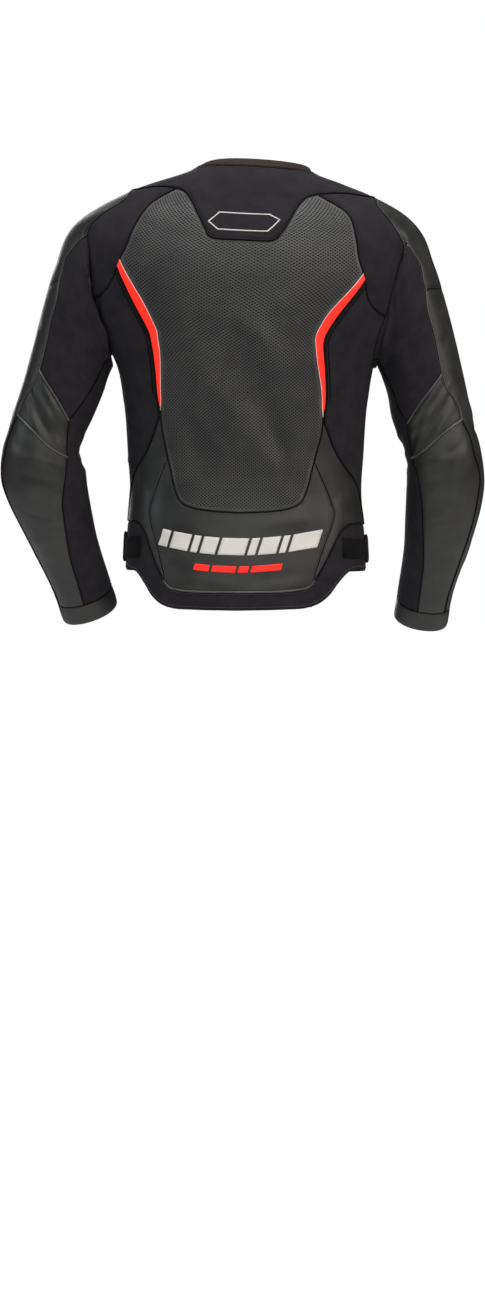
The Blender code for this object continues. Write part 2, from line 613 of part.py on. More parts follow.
def sleeve_pieces():
    """Each sleeve piece's name, outline, wall and finish, for the left sleeve's pattern."""
    cap_back, cap_foot, cap_front = map(sleeve_seam, (CAP_BACK, CAP_FOOT, CAP_FRONT))
    strip_back, strip_elbow, strip_forearm = map(sleeve_seam, (STRIP_BACK, STRIP_ELBOW, STRIP_FOREARM))
    elbow_top, elbow_inner, elbow_foot = map(sleeve_seam, (ELBOW_TOP, ELBOW_INNER, ELBOW_FOOT))
    strip_front, forearm_inner = sleeve_seam(STRIP_FRONT), sleeve_seam(FOREARM_INNER)
    triceps_inner, front_seam = sleeve_seam(TRICEPS_INNER), sleeve_seam(UNDERSLEEVE_FRONT)
    turn = 360 * DEGREE
    round_once = (turn, 0)
    front_low, strip_low = front_seam[-1], strip_front[-1] + round_once
    cuff_start, cuff_top = strip_front[-1][0], front_seam[-1][1]
    cap_top = np.concatenate([
        sleeve_start(CAP_FRONT_ANGLE, 360)[:-1] - round_once, sleeve_start(0, CAP_BACK_ANGLE),
    ])
    cap = joined(cap_back, cap_foot, cap_front, cap_top)
    strip = joined(
        strip_back, strip_elbow, strip_forearm, line(strip_forearm[-1], strip_front[-1]), strip_front[::-1],
        cap_foot[::-1],
    )
    triceps = joined(
        sleeve_start(CAP_BACK_ANGLE, TRICEPS_ANGLE), triceps_inner, elbow_top[::-1], strip_back[::-1],
        cap_back[::-1],
    )
    elbow = joined(elbow_top, elbow_inner, elbow_foot[::-1], strip_elbow[::-1])
    forearm_end = line(forearm_inner[-1], strip_forearm[-1])
    forearm = joined(elbow_foot, forearm_inner, forearm_end, strip_forearm[::-1])
    undersleeve = joined(
        sleeve_start(TRICEPS_ANGLE, FRONT_ANGLE), front_seam, line(front_low, forearm_inner[-1]),
        forearm_inner[::-1], elbow_inner[::-1], triceps_inner[::-1],
    )
    front_sleeve = joined(
        sleeve_start(FRONT_ANGLE, CAP_FRONT_ANGLE), cap_front[::-1] + round_once, strip_front + round_once,
        line(strip_low, front_low), front_seam[::-1],
    )
    return (
        ("shoulder_cap", cap, LEATHER_WALL, "leather"),
        ("sleeve_strip", strip, LEATHER_WALL, "leather"),
        ("triceps", triceps, TEXTILE_WALL, "textile"),
        ("elbow", elbow, LEATHER_WALL, "leather"),
        ("forearm", forearm, LEATHER_WALL, "leather"),
        ("undersleeve", undersleeve, TEXTILE_WALL, "textile"),
        ("front_sleeve", front_sleeve, LEATHER_WALL, "leather"),
        ("cuff", rectangle(cuff_start, cuff_start + turn, cuff_top, SLEEVE_END), LEATHER_WALL, "leather"),
    )


def inset(outline, form, by):
    """The outline taken in all round by a real distance, measured on the form."""
    by_p, by_q = form.slopes(*outline.T)
    out = unit(np.cross(by_p, by_q))
    turned = np.sum(outline[:, 0] * np.roll(outline[:, 1], -1) - np.roll(outline[:, 0], -1) * outline[:, 1])
    inward = []
    for step in (np.roll(outline, -1, axis=0) - outline, outline - np.roll(outline, 1, axis=0)):
        along = by_p * step[:, :1] + by_q * step[:, 1:]
        inward.append(unit(np.cross(out, along)) * np.sign(turned))
    mitre = inward[0] + inward[1]
    move = mitre / np.maximum(np.sum(mitre * inward[0], axis=1), 0.03)[:, None] * by
    pp, pq, qq = (np.sum(a * b, axis=1) for a, b in ((by_p, by_p), (by_p, by_q), (by_q, by_q)))
    p_part, q_part = np.sum(by_p * move, axis=1), np.sum(by_q * move, axis=1)
    shift = np.stack([p_part * qq - q_part * pq, q_part * pp - p_part * pq], -1)
    return outline + shift / (pp * qq - pq * pq)[:, None]


def flat_piece(outline, rows):
    """A bmesh of the flat outline, cut on the common grid and on further rows, and made of triangles."""
    bm = bmesh.new()
    bm.faces.new([bm.verts.new((p, q, 0)) for p, q in outline])
    bm.normal_update()
    for axis, more in ((0, ()), (1, rows)):
        low, high = outline[:, axis].min(), outline[:, axis].max()
        grid = [k * CELL for k in range(math.floor(low / CELL) + 1, math.ceil(high / CELL))]
        for cut in (*grid, *(m for m in more if low < m < high)):
            place, normal = Vector((0, 0, 0)), Vector((0, 0, 0))
            place[axis], normal[axis] = cut, 1
            bmesh.ops.bisect_plane(
                bm, geom=bm.verts[:] + bm.edges[:] + bm.faces[:], dist=1e-6, plane_co=place, plane_no=normal
            )
    bmesh.ops.triangulate(bm, faces=bm.faces[:], quad_method="BEAUTY", ngon_method="BEAUTY")
    return bm


def cloth(name, outline, form, wall, finish, lift=0.0):
    """A piece of cloth: its outline on the form, from its outer face inwards, or raised by a lift."""
    bm = flat_piece(inset(outline, form, SEAM_GAP / 2), form.rows)
    outer = lift + wall if lift else 0.0
    bmesh.ops.translate(bm, verts=bm.verts, vec=(0, 0, outer))
    below = bmesh.ops.extrude_face_region(bm, geom=bm.faces[:])
    moved = [v for v in below["geom"] if isinstance(v, bmesh.types.BMVert)]
    bmesh.ops.translate(bm, verts=moved, vec=(0, 0, -wall))
    bmesh.ops.recalc_face_normals(bm, faces=bm.faces)
    flat = np.array([v.co for v in bm.verts])
    for vert, place in zip(bm.verts, form.lay(*flat.T)):
        vert.co = place
    if form.facing < 0:
        bmesh.ops.reverse_faces(bm, faces=bm.faces[:])
    return new_object(name, bm, finish)


def new_object(name, bm, finish):
    mesh = bpy.data.meshes.new(name)
    bm.to_mesh(mesh)
    bm.free()
    mesh.shade_smooth()
    mesh.materials.append(material(finish, name))
    piece = bpy.data.objects.new(name, mesh)
    bpy.data.collections["leather_jacket"].objects.link(piece)
    return piece


def material(finish, name):
    """A material of the piece's own, in one of the finishes."""
    made = bpy.data.materials.new(f"{name}_{finish}")
    made.use_nodes = True
    shader = made.node_tree.nodes["Principled BSDF"]
    row = FINISHES[finish]
    shader.inputs["Base Color"].default_value = (*row.colour, 1)
    shader.inputs["Roughness"].default_value = row.roughness
    shader.inputs["Metallic"].default_value = row.metallic
    return made


def build_torso():
    for name, outline, wall, finish in torso_pieces():
        cloth(name, outline, TORSO, wall, finish)


def build_sleeves():
    for side, form, ending in ((1, LEFT_SLEEVE, "_left"), (-1, RIGHT_SLEEVE, "_right")):
        for name, outline, wall, finish in sleeve_pieces():
            cloth(name + ending, outline, form, wall, finish)


def build_adjusters():
    """Hook patches on the hem at the sides, and the straps that close onto them."""
    back_p, patch_top = seen_on_torso(PATCH_BACK_X, PATCH_TOP_Z)
    _, patch_foot = seen_on_torso(PATCH_BACK_X, PATCH_FOOT_Z)
    patch = rectangle(back_p, PATCH_FRONT_P, patch_top, patch_foot)
    strap = rectangle(STRAP_BACK_P, STRAP_FRONT_P, STRAP_TOP_Q, STRAP_FOOT_Q)
    for ending, turned in (("_left", lambda o: o), ("_right", mirrored)):
        cloth("hook_patch" + ending, turned(patch), TORSO, PATCH_WALL, "hook_tape", PATCH_LIFT)
        cloth("waist_strap" + ending, turned(strap), TORSO, STRAP_WALL, "textile", STRAP_LIFT)


def rectangle(p0, p1, q0, q1):
    return np.array([(p0, q0), (p1, q0), (p1, q1), (p0, q1)])


def build_zip():
    """The slider at the top of the closed zip, and the pull tab that hangs from its bridge."""
    place = slider_place()
    slider = metal_block("zip_slider", (PLATE_WIDTH, PLATE_THICK, PLATE_HEIGHT), PLATE_BEVEL)
    slider.data.transform(Matrix.Translation((0, -SLIDER_LIFT - PLATE_THICK / 2, 0)))
    bridge = cutter(block((BRIDGE_WIDTH, BRIDGE_THICK, BRIDGE_HEIGHT), BRIDGE_BEVEL), "slider_bridge")
    bridge_out = SLIDER_LIFT + PLATE_THICK - 0.2 * MM + BRIDGE_THICK / 2
    bridge.data.transform(Matrix.Translation((0, -bridge_out, 0)))
    hole = cutter(pin_hole(), "slider_pin_hole")
    for piece in (slider, bridge, hole):
        piece.data.transform(place)
    boolean(slider, bridge, "UNION")
    boolean(slider, hole, "DIFFERENCE")

    pin = place @ Vector((0, -PIN_OUT, -PIN_DOWN))
    at, out = TORSO.frame(np.array([2 * QUARTER]), np.array([SLIDER_Q + TAB_REST_DOWN]))
    up = (pin - Vector(at[0] + out[0] * TAB_REST_LIFT)).normalized()
    turn = axes(Vector((1, 0, 0)), up)
    tab = metal_block("zip_pull_tab", (TAB_WIDTH, TAB_THICK, TAB_LENGTH), TAB_BEVEL, flat_corners=True)
    tab.data.transform(Matrix.Translation((0, 0, (TAB_THICK - TAB_LENGTH) / 2)))
    slot = cutter(block((SLOT_WIDTH, 3 * TAB_THICK, SLOT_LENGTH - TAB_THICK / 2), 0), "tab_slot")
    slot.data.transform(Matrix.Translation((0, 0, -(SLOT_LENGTH + TAB_THICK / 2) / 2)))
    for piece in (tab, slot):
        piece.data.transform(turn)
        piece.location = pin
    boolean(tab, slot, "DIFFERENCE")


def slider_place():
    """From the slider's own frame, with -Y outwards and +Z up the zip, to its place on the collar."""
    at, out = TORSO.frame(np.array([2 * QUARTER]), np.array([SLIDER_Q]))
    sideways = Vector((1, 0, 0))
    return Matrix.Translation(at[0]) @ axes(sideways, Vector(out[0]).cross(sideways).normalized())


def axes(sideways, up):
    """The turn that takes +X and +Z to two directions."""
    return Matrix((sideways, up.cross(sideways), up)).transposed().to_4x4()


def block(size, bevel, flat_corners=False):
    """A box with its edges bevelled, or only the four that run through its thickness."""
    bm = bmesh.new()
    bmesh.ops.create_cube(bm, size=1)
    bmesh.ops.scale(bm, verts=bm.verts, vec=size)
    edges = bm.edges[:]
    if flat_corners:
        edges = [e for e in edges if abs(e.verts[0].co.y - e.verts[1].co.y) > 0.5 * size[1]]
    if bevel:
        bmesh.ops.bevel(bm, geom=edges, affect="EDGES", offset=bevel, segments=2, profile=0.5)
    return bm


def pin_hole():
    bm = bmesh.new()
    bmesh.ops.create_cone(
        bm, cap_ends=True, segments=24, radius1=PIN_HOLE, radius2=PIN_HOLE, depth=3 * BRIDGE_WIDTH,
        matrix=Matrix.Translation((0, -PIN_OUT, -PIN_DOWN)) @ Matrix.Rotation(math.pi / 2, 4, "Y"),
    )
    return bm


def metal_block(name, size, bevel, flat_corners=False):
    return new_object(name, block(size, bevel, flat_corners), "zip_metal")


def cutter(bm, name):
    """A tool for a boolean, kept in its own collection and out of renders."""
    mesh = bpy.data.meshes.new(name)
    bm.to_mesh(mesh)
    bm.free()
    tool = bpy.data.objects.new(name, mesh)
    tool.hide_render = True
    tool.display_type = "WIRE"
    bpy.data.collections["cutters"].objects.link(tool)
    return tool


def boolean(piece, tool, operation):
    change = piece.modifiers.new(tool.name, "BOOLEAN")
    change.object = tool
    change.operation = operation
    change.solver = "EXACT"


def clear_scene():
    for old in list(bpy.data.objects):
        bpy.data.objects.remove(old, do_unlink=True)


def main():
    clear_scene()
    for name in ("leather_jacket", "cutters"):
        bpy.context.scene.collection.children.link(bpy.data.collections.new(name))
    find_armhole_seams()
    build_torso()
    build_sleeves()
    build_adjusters()
    build_zip()


main()
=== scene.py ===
"""A leather motorcycle jacket, dressed: its cut pieces, seams, sewing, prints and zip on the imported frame.

Frame: metres, +Z up. The wearer faces -Y and the wearer's left is +X. A piece of cloth is cut flat as the
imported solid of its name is, and laid on the same form with its finer folds and sunken seams.
"""

import math
from collections import namedtuple

import bmesh
import bpy
import numpy as np
from mathutils import Matrix, Vector
from mathutils.kdtree import KDTree


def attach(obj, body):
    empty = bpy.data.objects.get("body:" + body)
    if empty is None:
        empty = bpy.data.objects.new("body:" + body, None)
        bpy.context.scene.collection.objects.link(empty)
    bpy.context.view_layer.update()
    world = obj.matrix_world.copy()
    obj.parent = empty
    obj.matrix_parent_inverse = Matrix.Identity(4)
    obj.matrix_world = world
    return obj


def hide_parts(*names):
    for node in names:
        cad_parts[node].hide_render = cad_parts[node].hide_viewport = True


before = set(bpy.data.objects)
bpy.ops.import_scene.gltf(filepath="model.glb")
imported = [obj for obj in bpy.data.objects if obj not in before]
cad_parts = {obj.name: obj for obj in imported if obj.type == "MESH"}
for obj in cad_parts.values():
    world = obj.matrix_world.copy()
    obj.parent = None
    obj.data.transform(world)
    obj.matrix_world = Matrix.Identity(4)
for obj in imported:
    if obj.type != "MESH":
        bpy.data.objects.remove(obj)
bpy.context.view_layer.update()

bl_info = {
    "name": "Leather motorcycle jacket",
    "version": (1, 0, 0),
    "blender": (4, 5, 0),
    "location": "3D View > Sidebar > Jacket",
    "description": "Builds a worn, hollow leather motorcycle jacket from its cut pieces",
    "category": "Object",
}

MM = 0.001

# Cloth and seams
LEATHER_WALL = 2.0 * MM
TEXTILE_WALL = 1.6 * MM
COLLAR_WALL = 2.6 * MM
TAPE_WALL = 1.2 * MM
SEAM_GAP = 0.3 * MM
CURVE_ERROR = 0.06 * MM  # how far an outline's straight runs may leave its curve

# Torso: p is QUARTER at the side and twice that at the front zip
QUARTER = 250 * MM
SQUARENESS = 0.03  # how far a section leaves an ellipse towards a box
SHOULDER_LEAN = 0.05  # the cloth sits this much lower on the wearer's right
NECK_LEAN = 0.6  # share of that lean at the neck
LEAN_WHOLE = 80 * MM  # the lean is whole from here down
LEAN_GONE, LEAN_FADE = 620 * MM, 400 * MM  # and fades out over this length to here
FRONT_MIDDLE = -1 * MM  # x of the front's middle
# down, side_z, half_width, back_z, back_y, front_z, front_y, mid_x, twist
RINGS_MM = (
    (-16, 16, 80, 19, 66, -18, -70, -15, 0),
    (0, 7, 89, 7, 74, -44, -78, -8, 0),
    (36, -12.5, 143, -17, 90, -68, -96, -1, 0),
    (72, -27.5, 183.5, -48, 105, -94, -110, 1, 1),
    (112, -50, 226, -85, 120, -124, -121, -1, 2),
    (150, -88, 243, -121, 130, -155, -128, -1, 4),
    (195, -150, 242, -166, 135, -190, -133, -1, 6),
    (245, -212, 220, -215, 135, -225, -135, -1, 10),
    (295, -264, 188, -264, 129, -264, -133, -1, 9),
    (350, -320, 176, -320, 118, -320, -127, -1, 7),
    (430, -400, 169.5, -400, 106, -400, -120, -1, 7),
    (480, -450, 166.5, -450, 104, -450, -118, -1, 8),
    (530, -500, 170, -500, 110, -500, -120, -1, 9),
    (590, -560, 173, -560, 117, -560, -122, -1, 10),
    (660, -630, 176, -630, 124, -630, -124, -1, 10),
)
RINGS = np.array(RINGS_MM) * MM

# Armhole: the angle round the sleeve, the seam's x and z seen from behind, and -1 where it is on the front
ARMHOLE_MM = (
    (0, 177, -21.5, 1), (12, 176, -34, 1), (25, 186, -49, 1), (38, 207, -67, 1), (50, 225, -92, 1),
    (68, 221, -124, 1), (90, 216, -157, 1), (112, 210, -192, 1), (135, 201, -219, 1), (160, 192, -248, 1),
    (180, 187.5, -264.5, 1), (212, 191, -250, -1), (236, 201, -222, -1), (257, 209, -190, -1),
    (275, 214, -156, -1), (292, 218.4, -117, -1), (305, 214.8, -89, -1), (320, 205.3, -64, -1),
    (333, 194, -46.7, -1), (345, 185, -30.5, -1),
)

# Sleeves: each section's inner and outer edge, seen from behind, and how many degrees it leans forward
# down, x_in, z_in, x_out, z_out, mid_y, half_depth, lean
UPPER_ARM_MM = (
    (55, 190, -270, 244, -67, 0, 82, 0), (110, 192, -275, 273, -128, 0, 78, 0),
    (165, 197, -287, 291, -188, 2, 73, 0), (220, 205, -312, 304.5, -242, 4, 68, 0),
)
LEFT_ARM_MM = (
    (275, 219, -346, 320, -298, 7, 63, 0), (325, 232, -375, 335, -346, 10, 60, 2),
    (370, 236, -399, 348.5, -393, 12, 60, 8), (410, 230, -421, 351, -429, 10, 58, 16),
    (455, 226, -450, 343, -459, 3, 56, 22), (505, 220, -487, 322, -502, -12, 53, 25),
    (555, 213, -523, 303, -541, -32, 49, 25), (605, 200, -567, 281, -588, -53, 45, 25),
    (655, 186, -611, 266, -634, -74, 43, 25),
)
RIGHT_ARM_MM = (
    (275, 211, -346, 317, -298, 7, 63, 0), (325, 221, -375, 328, -351, 10, 60, 2),
    (370, 230, -401, 339, -393, 12, 60, 8), (410, 233, -423, 344, -432, 10, 58, 16),
    (455, 232, -455, 341, -466, 3, 56, 22), (505, 231, -495, 331, -507, -12, 53, 25),
    (555, 230, -535, 318, -547, -32, 49, 25), (605, 224, -583, 303, -594, -53, 45, 25),
    (655, 217, -629, 296, -640, -74, 43, 25),
)
ARM_SQUARENESS = 0.01
SLEEVE_TURN = 7.0  # degrees that each sleeve is turned outwards from the cut's own place
TURN_WHOLE = 100 * MM  # and from here down it is turned by all of that
LEAVES_OUT, LEAVES_ACROSS, LEAVES_DOWN = 0.85, 0.62, 0.2  # how a sleeve leaves its armhole
SLEEVE_END = 655 * MM
DEGREE = 0.001  # a degree round the sleeve is a millimetre of its flat pattern

# Seams of the left half that show from behind: (x, z) of each point in mm
YOKE_TAIL = (
    (0, -103.5), (26, -103.5), (40, -102.8), (47, -100), (53, -91), (64, -70), (76, -47), (85, -36),
    (99, -29.6),
)
YOKE_ARM = ((99, -29.6), (123, -26), (145, -25.3), (160, -26.2))
PANEL_TOP_EDGE = (
    (99, -29.6), (119, -41), (135, -51.5), (146, -64.5), (154, -82), (160, -100), (165, -119), (173, -139),
)
INSERT_INNER = (
    (173, -139), (150, -174), (130, -201), (118, -222), (112.5, -233), (110.7, -252), (111.5, -282),
    (114, -311), (114.3, -338), (115.5, -350.5),
)
INSERT_TOP = ((173, -139), (176.5, -150))
INSERT_OUTER = (
    (176.5, -150), (161, -178), (143, -206), (130, -227), (124.5, -239), (122.3, -258), (121.8, -273),
    (121.2, -304), (119.8, -329), (115.5, -350.5),
)
SHOULDER_LOWER = ((176.5, -150), (182, -169), (189, -181), (197, -188))
PANEL_SIDE = ((115.5, -350.5), (112.5, -375), (108.3, -394), (104.3, -411))
PANEL_BOTTOM = (
    (104.3, -411), (101, -423), (93.5, -454), (87, -468.5), (79, -475.5), (67.5, -480), (42, -484),
    (0, -486.5),
)
SIDE_LOWER = (
    (115.5, -350.5), (122, -368), (128, -384), (136, -401), (146.5, -417), (157.5, -433), (162.5, -446),
)
SHIELD_EDGE = (
    (104.3, -411), (115.5, -437.5), (126.8, -466), (131.7, -483), (129, -501), (119, -532), (111.3, -560),
    (107, -575),
)
HEM_TOP_OUTER = (
    (170, -496), (160, -497), (150, -500), (142.3, -508), (129.5, -536), (119, -560), (107, -582),
)
HEM_TOP_INNER = ((107, -582), (100, -591), (84.5, -595.5), (56, -598), (0, -599))
HEM_EDGE = (
    (172.6, -565), (160, -565.5), (152, -569.5), (139, -585.5), (126, -604), (112.5, -615), (95.5, -621),
    (63, -623.5), (0, -625),
)
HEM_TOP_SIDE_Q = 526 * MM
HEM_EDGE_SIDE_Q = 595 * MM
SIDE_SEAM = ((283, 350), (279, 430), (279, 526))  # (p, q) in mm, on the front side
SIDE_SEAM_P = 279 * MM
SIDE_LINE_P = 246.25 * MM  # where the back's seams reach the side
# Armhole angles where seams arrive
YOKE_ANGLE, SIDE_TOP_ANGLE, SIDE_SEAM_ANGLE = 6, 114, 210
CAP_BACK_ANGLE, TRICEPS_ANGLE, FRONT_ANGLE, CAP_FRONT_ANGLE = 55, 168, 242, 315
ARMHOLE_STEP = 3

# Seams of a sleeve: (angle in degrees, mm down)
SLEEVE_SEAMS = {
    "cap_back": ((55, 0), (55, 12), (54, 24), (49.5, 60), (46, 80), (44, 92), (49, 106), (51, 118)),
    "cap_foot": ((51, 118), (26, 134), (0, 141), (-25, 136), (-42, 124)),
    "cap_front": ((-42, 124), (-44, 60), (-45, 0)),
    "strip_upper": ((51, 118), (56, 134), (57.5, 170), (59, 215), (60, 248)),
    "strip_elbow": ((60, 248), (57, 270), (49, 287), (43, 304), (42, 320)),
    "strip_forearm": ((42, 320), (34, 348), (33, 372), (25, 398), (29, 430), (31, 480), (34, 550), (34, 627)),
    "strip_front": ((-42, 124), (-38, 220), (-32, 340), (-28, 460), (-26, 627)),
    "elbow_top": ((60, 248), (96, 273), (128, 302)),
    "elbow_inner": ((128, 302), (136, 338), (141, 372)),
    "elbow_foot": ((42, 320), (64, 328), (84, 338), (112, 357), (141, 372)),
    "forearm_inner": ((141, 372), (131, 411), (123, 445), (116, 490), (104, 573), (98, 627)),
    "triceps_inner": ((168, 0), (160, 80), (150, 200), (137, 270), (128, 302)),
    "undersleeve_front": ((242, 0), (232, 60), (214, 200), (210, 372), (206, 500), (204, 627)),
}

# Folds on the torso: from x, z to x, z seen from behind, width and height, in mm
BACK_FOLDS = (
    (84, -258, -30, -428, 26, 7.0), (-22, -216, -100, -384, 24, 7.5), (8, -240, -62, -392, 20, -7.5),
    (96, -300, 28, -388, 22, -6.5), (-70, -300, -108, -424, 20, -4.0), (60, -120, 108, -190, 34, 2.6),
    (-66, -110, -118, -200, 34, 3.2), (0, -150, 14, -250, 36, -2.2),
)
# Folds on a sleeve: from and to as (angle, mm down), width and height in mm
SLEEVE_FOLDS = (
    (96, 20, 118, 120, 15, -3.5), (128, 20, 140, 130, 14, 3.0), (150, 110, 118, 190, 13, -3.0),
    (66, 285, 118, 345, 12, -2.5), (86, 285, 130, 330, 10, 2.5), (150, 340, 205, 372, 14, -1.6),
    (170, 380, 240, 392, 18, -1.3), (160, 412, 225, 420, 14, 0.7), (250, 350, 310, 372, 16, -4.0),
    (80, 430, 118, 470, 14, -1.8),
)

# Side adjusters, from the back towards the front
PATCH_BACK_X, PATCH_FRONT_P = 142 * MM, 262 * MM
PATCH_TOP_Z, PATCH_FOOT_Z = -520 * MM, -549 * MM
PATCH_WALL, PATCH_LIFT = 1.4 * MM, 0.4 * MM
STRAP_BACK_P, STRAP_FRONT_P = 240 * MM, 350 * MM
STRAP_TOP_Q, STRAP_FOOT_Q = 541 * MM, 583 * MM
STRAP_WALL, STRAP_LIFT = 2.6 * MM, 2.6 * MM

# Stage
FLOOR_Z = -1.616
FLOOR_SIZE = 14.0
FLOOR_GLOW = 0.95  # only for the camera, so that the floor is as pale as the backdrop
CAMERA_AT = (0.0036, 5.0, -0.68)
LENS, SENSOR_WIDTH = 96.15, 36
AMBIENT = 0.035  # grey of the surroundings, apart from what the camera sees
Lamp = namedtuple("Lamp", "name place size watts colour")
LAMPS = (
    Lamp("behind_high", (-0.3, 2.8, 3.2), 1.2, 40, (1.0, 0.98, 0.96)),
    Lamp("behind_level", (0, 4.5, 1.0), 1.2, 32, (1.0, 0.99, 0.98)),
    Lamp("behind_right", (-2.0, 3.2, 1.8), 1.2, 40, (1.0, 0.95, 0.9)),
    Lamp("behind_left", (2.2, 2.8, 2.0), 1.2, 8, (0.9, 0.94, 1.0)),
    Lamp("right", (-3.2, 1.8, 1.0), 1.2, 34, (1.0, 0.94, 0.87)),
    Lamp("left", (3.2, 0.8, 0.8), 1.2, 18, (0.84, 0.91, 1.0)),
    Lamp("top", (0, 0.3, 3.2), 1.2, 120, (0.98, 0.98, 1.0)),
    Lamp("front", (0.5, -3.6, 0.6), 2.6, 90, (1.0, 1.0, 1.0)),
)
LIT_PLACE = (0, 0, -0.35)

# Front zip
TAPE_INNER_X, TAPE_OUTER_X = 0.3 * MM, 14 * MM

# Finer folds, in the same columns as the main ones
BACK_CREASES = (
    (194, -146, 208, -196, 5, 2.4), (185, -154, 200, -210, 5, -2.6), (176, -164, 191, -220, 6, 1.9),
    (166, -176, 182, -236, 7, -1.5), (-188, -150, -206, -182, 5, 2.0), (-181, -160, -202, -202, 5, -2.4),
    (-175, -180, -192, -228, 6, 1.7), (-164, -190, -178, -244, 7, -1.3), (166, -358, 138, -382, 3.5, -1.6),
    (172, -410, 150, -424, 4, 1.2), (-150, -300, -166, -392, 12, -2.4), (-141, -250, -150, -330, 10, 2.0),
    (-166, -330, -158, -430, 9, 1.5), (160, -250, 138, -330, 12, 2.2), (150, -262, 130, -352, 9, -1.9),
    (60, -190, 100, -236, 12, 1.5), (-52, -176, -96, -238, 12, 1.6), (70, -330, 20, -420, 10, 1.8),
    (52, -318, 8, -404, 8, -1.6), (-8, -330, -52, -436, 9, 1.9), (-84, -286, -106, -372, 9, -1.6),
    (98, -402, 70, -452, 9, 1.2), (-40, -420, -92, -462, 11, -1.3), (96, -500, 30, -520, 11, 1.3),
    (-28, -506, -98, -492, 10, 1.2), (118, -508, 96, -556, 9, -1.1), (84, -578, 10, -588, 8, 0.9),
    (-20, -584, -92, -572, 8, -0.9), (139, -440, 118, -486, 9, -0.6), (-141, -446, -122, -480, 9, -0.6),
    (154, -452, 146, -494, 9, 0.5), (60, -606, 20, -612, 9, 0.8), (-50, -604, -96, -612, 8, -0.8),
    (30, -40, 96, -34, 12, 1.1), (-24, -46, -84, -38, 11, -1.0), (120, -60, 168, -120, 13, 1.6),
    (-130, -58, -172, -112, 12, 1.4), (106, -304, 44, -438, 15, -3.2), (36, -300, -62, -464, 14, 3.2),
    (-12, -304, -68, -426, 13, -3.4), (-34, -226, -72, -300, 14, 2.4), (-86, -334, -72, -452, 12, 2.2),
)
SLEEVE_CREASES = (
    (52, 268, 112, 324, 3.8, 1.6), (58, 262, 122, 317, 3.4, -1.6), (50, 277, 102, 333, 3.6, -1.4),
    (68, 261, 128, 309, 3.6, 1.5), (48, 292, 92, 336, 4.0, 1.3), (78, 262, 132, 302, 3.4, -1.3),
    (100, 296, 134, 350, 3.8, -1.5), (88, 304, 136, 364, 4.2, 1.5), (58, 462, 104, 479, 2.6, -1.5),
    (70, 368, 128, 390, 7, 1.5), (64, 392, 120, 416, 8, -1.4), (50, 352, 84, 372, 6, -1.1),
    (46, 520, 92, 508, 8, 1.1), (110, 560, 70, 590, 7, -1.3), (96, 540, 60, 548, 6, 0.9),
    (108, 4, 124, 50, 4.5, -2.2), (99, 8, 113, 58, 4.5, 2.0), (119, 10, 136, 72, 5, 1.9),
    (88, 12, 103, 74, 5, -1.5), (74, 20, 92, 96, 9, -2.2), (64, 60, 86, 156, 11, 1.6),
    (104, 120, 92, 210, 9, -1.5), (120, 150, 104, 236, 8, 1.3), (152, 302, 188, 330, 7, 1.0),
    (146, 322, 200, 352, 7, -1.2), (150, 356, 206, 388, 7, 1.1), (158, 392, 214, 404, 7, -0.9),
    (222, 330, 286, 352, 7, 2.2), (230, 366, 296, 380, 6, -2.2), (214, 400, 280, 408, 7, 1.2),
    (262, 30, 288, 130, 10, -2.0), (286, 20, 300, 110, 9, 1.8), (240, 440, 300, 470, 9, 1.4),
    (-16, 300, 12, 322, 7, 1.3), (-20, 330, 18, 346, 6, -1.3), (-8, 520, 16, 560, 8, 1.1),
    (-30, 40, 10, 96, 10, 1.0), (20, 180, 50, 214, 8, -0.9),
)
# Finer folds on the front: from and to as (p, q) in mm on the left half, width and height in mm
FRONT_CREASES = (
    (300, 150, 352, 226, 12, -2.2), (292, 176, 336, 262, 11, 1.8), (286, 470, 380, 430, 14, 2.0),
    (290, 500, 400, 470, 12, -1.8), (300, 560, 380, 540, 10, 1.2), (430, 120, 380, 210, 16, 1.6),
    (452, 300, 400, 420, 18, -2.0), (470, 360, 430, 480, 14, 1.6), (-306, 160, -346, 242, 12, -2.0),
    (-290, 190, -330, 280, 11, 1.7), (-288, 450, -372, 420, 13, 1.8), (-292, 486, -410, 458, 12, -1.9),
    (-310, 548, -392, 560, 10, 1.1), (-440, 150, -392, 230, 15, 1.4), (-448, 330, -396, 400, 17, -1.8),
)


def spline(knots, values, at):
    """A smooth curve through values at the knots, read at `at`."""
    knots, values, at = (np.asarray(a, float) for a in (knots, values, at))
    slopes = np.gradient(values, knots, axis=0)
    i = np.clip(np.searchsorted(knots, at) - 1, 0, len(knots) - 2)
    wide = at.shape + (1,) * (values.ndim - 1)
    step = (knots[i + 1] - knots[i]).reshape(wide)
    t = ((at - knots[i]) / (knots[i + 1] - knots[i])).reshape(wide)
    return between(values[i], slopes[i], values[i + 1], slopes[i + 1], step, t)


def between(start, start_slope, end, end_slope, step, t):
    """A cubic between two values with given slopes, at a share t of the step."""
    return (
        (2 * t**3 - 3 * t**2 + 1) * start
        + (t**3 - 2 * t**2 + t) * step * start_slope
        + (3 * t**2 - 2 * t**3) * end
        + (t**3 - t**2) * step * end_slope
    )


def unit(vectors):
    return vectors / np.maximum(np.linalg.norm(vectors, axis=-1, keepdims=True), 1e-12)


def across(angle, square=SQUARENESS):
    """Sideways share of a section at an angle from its back."""
    return (np.sin(angle) + square * np.sin(3 * angle)) / (1 - square)


def deep(angle, square=SQUARENESS):
    """Share of a section's depth at an angle from its back."""
    return (np.cos(angle) - square * np.cos(3 * angle)) / (1 - square)


QUARTER_TURN = np.linspace(0, math.pi / 2, 181)


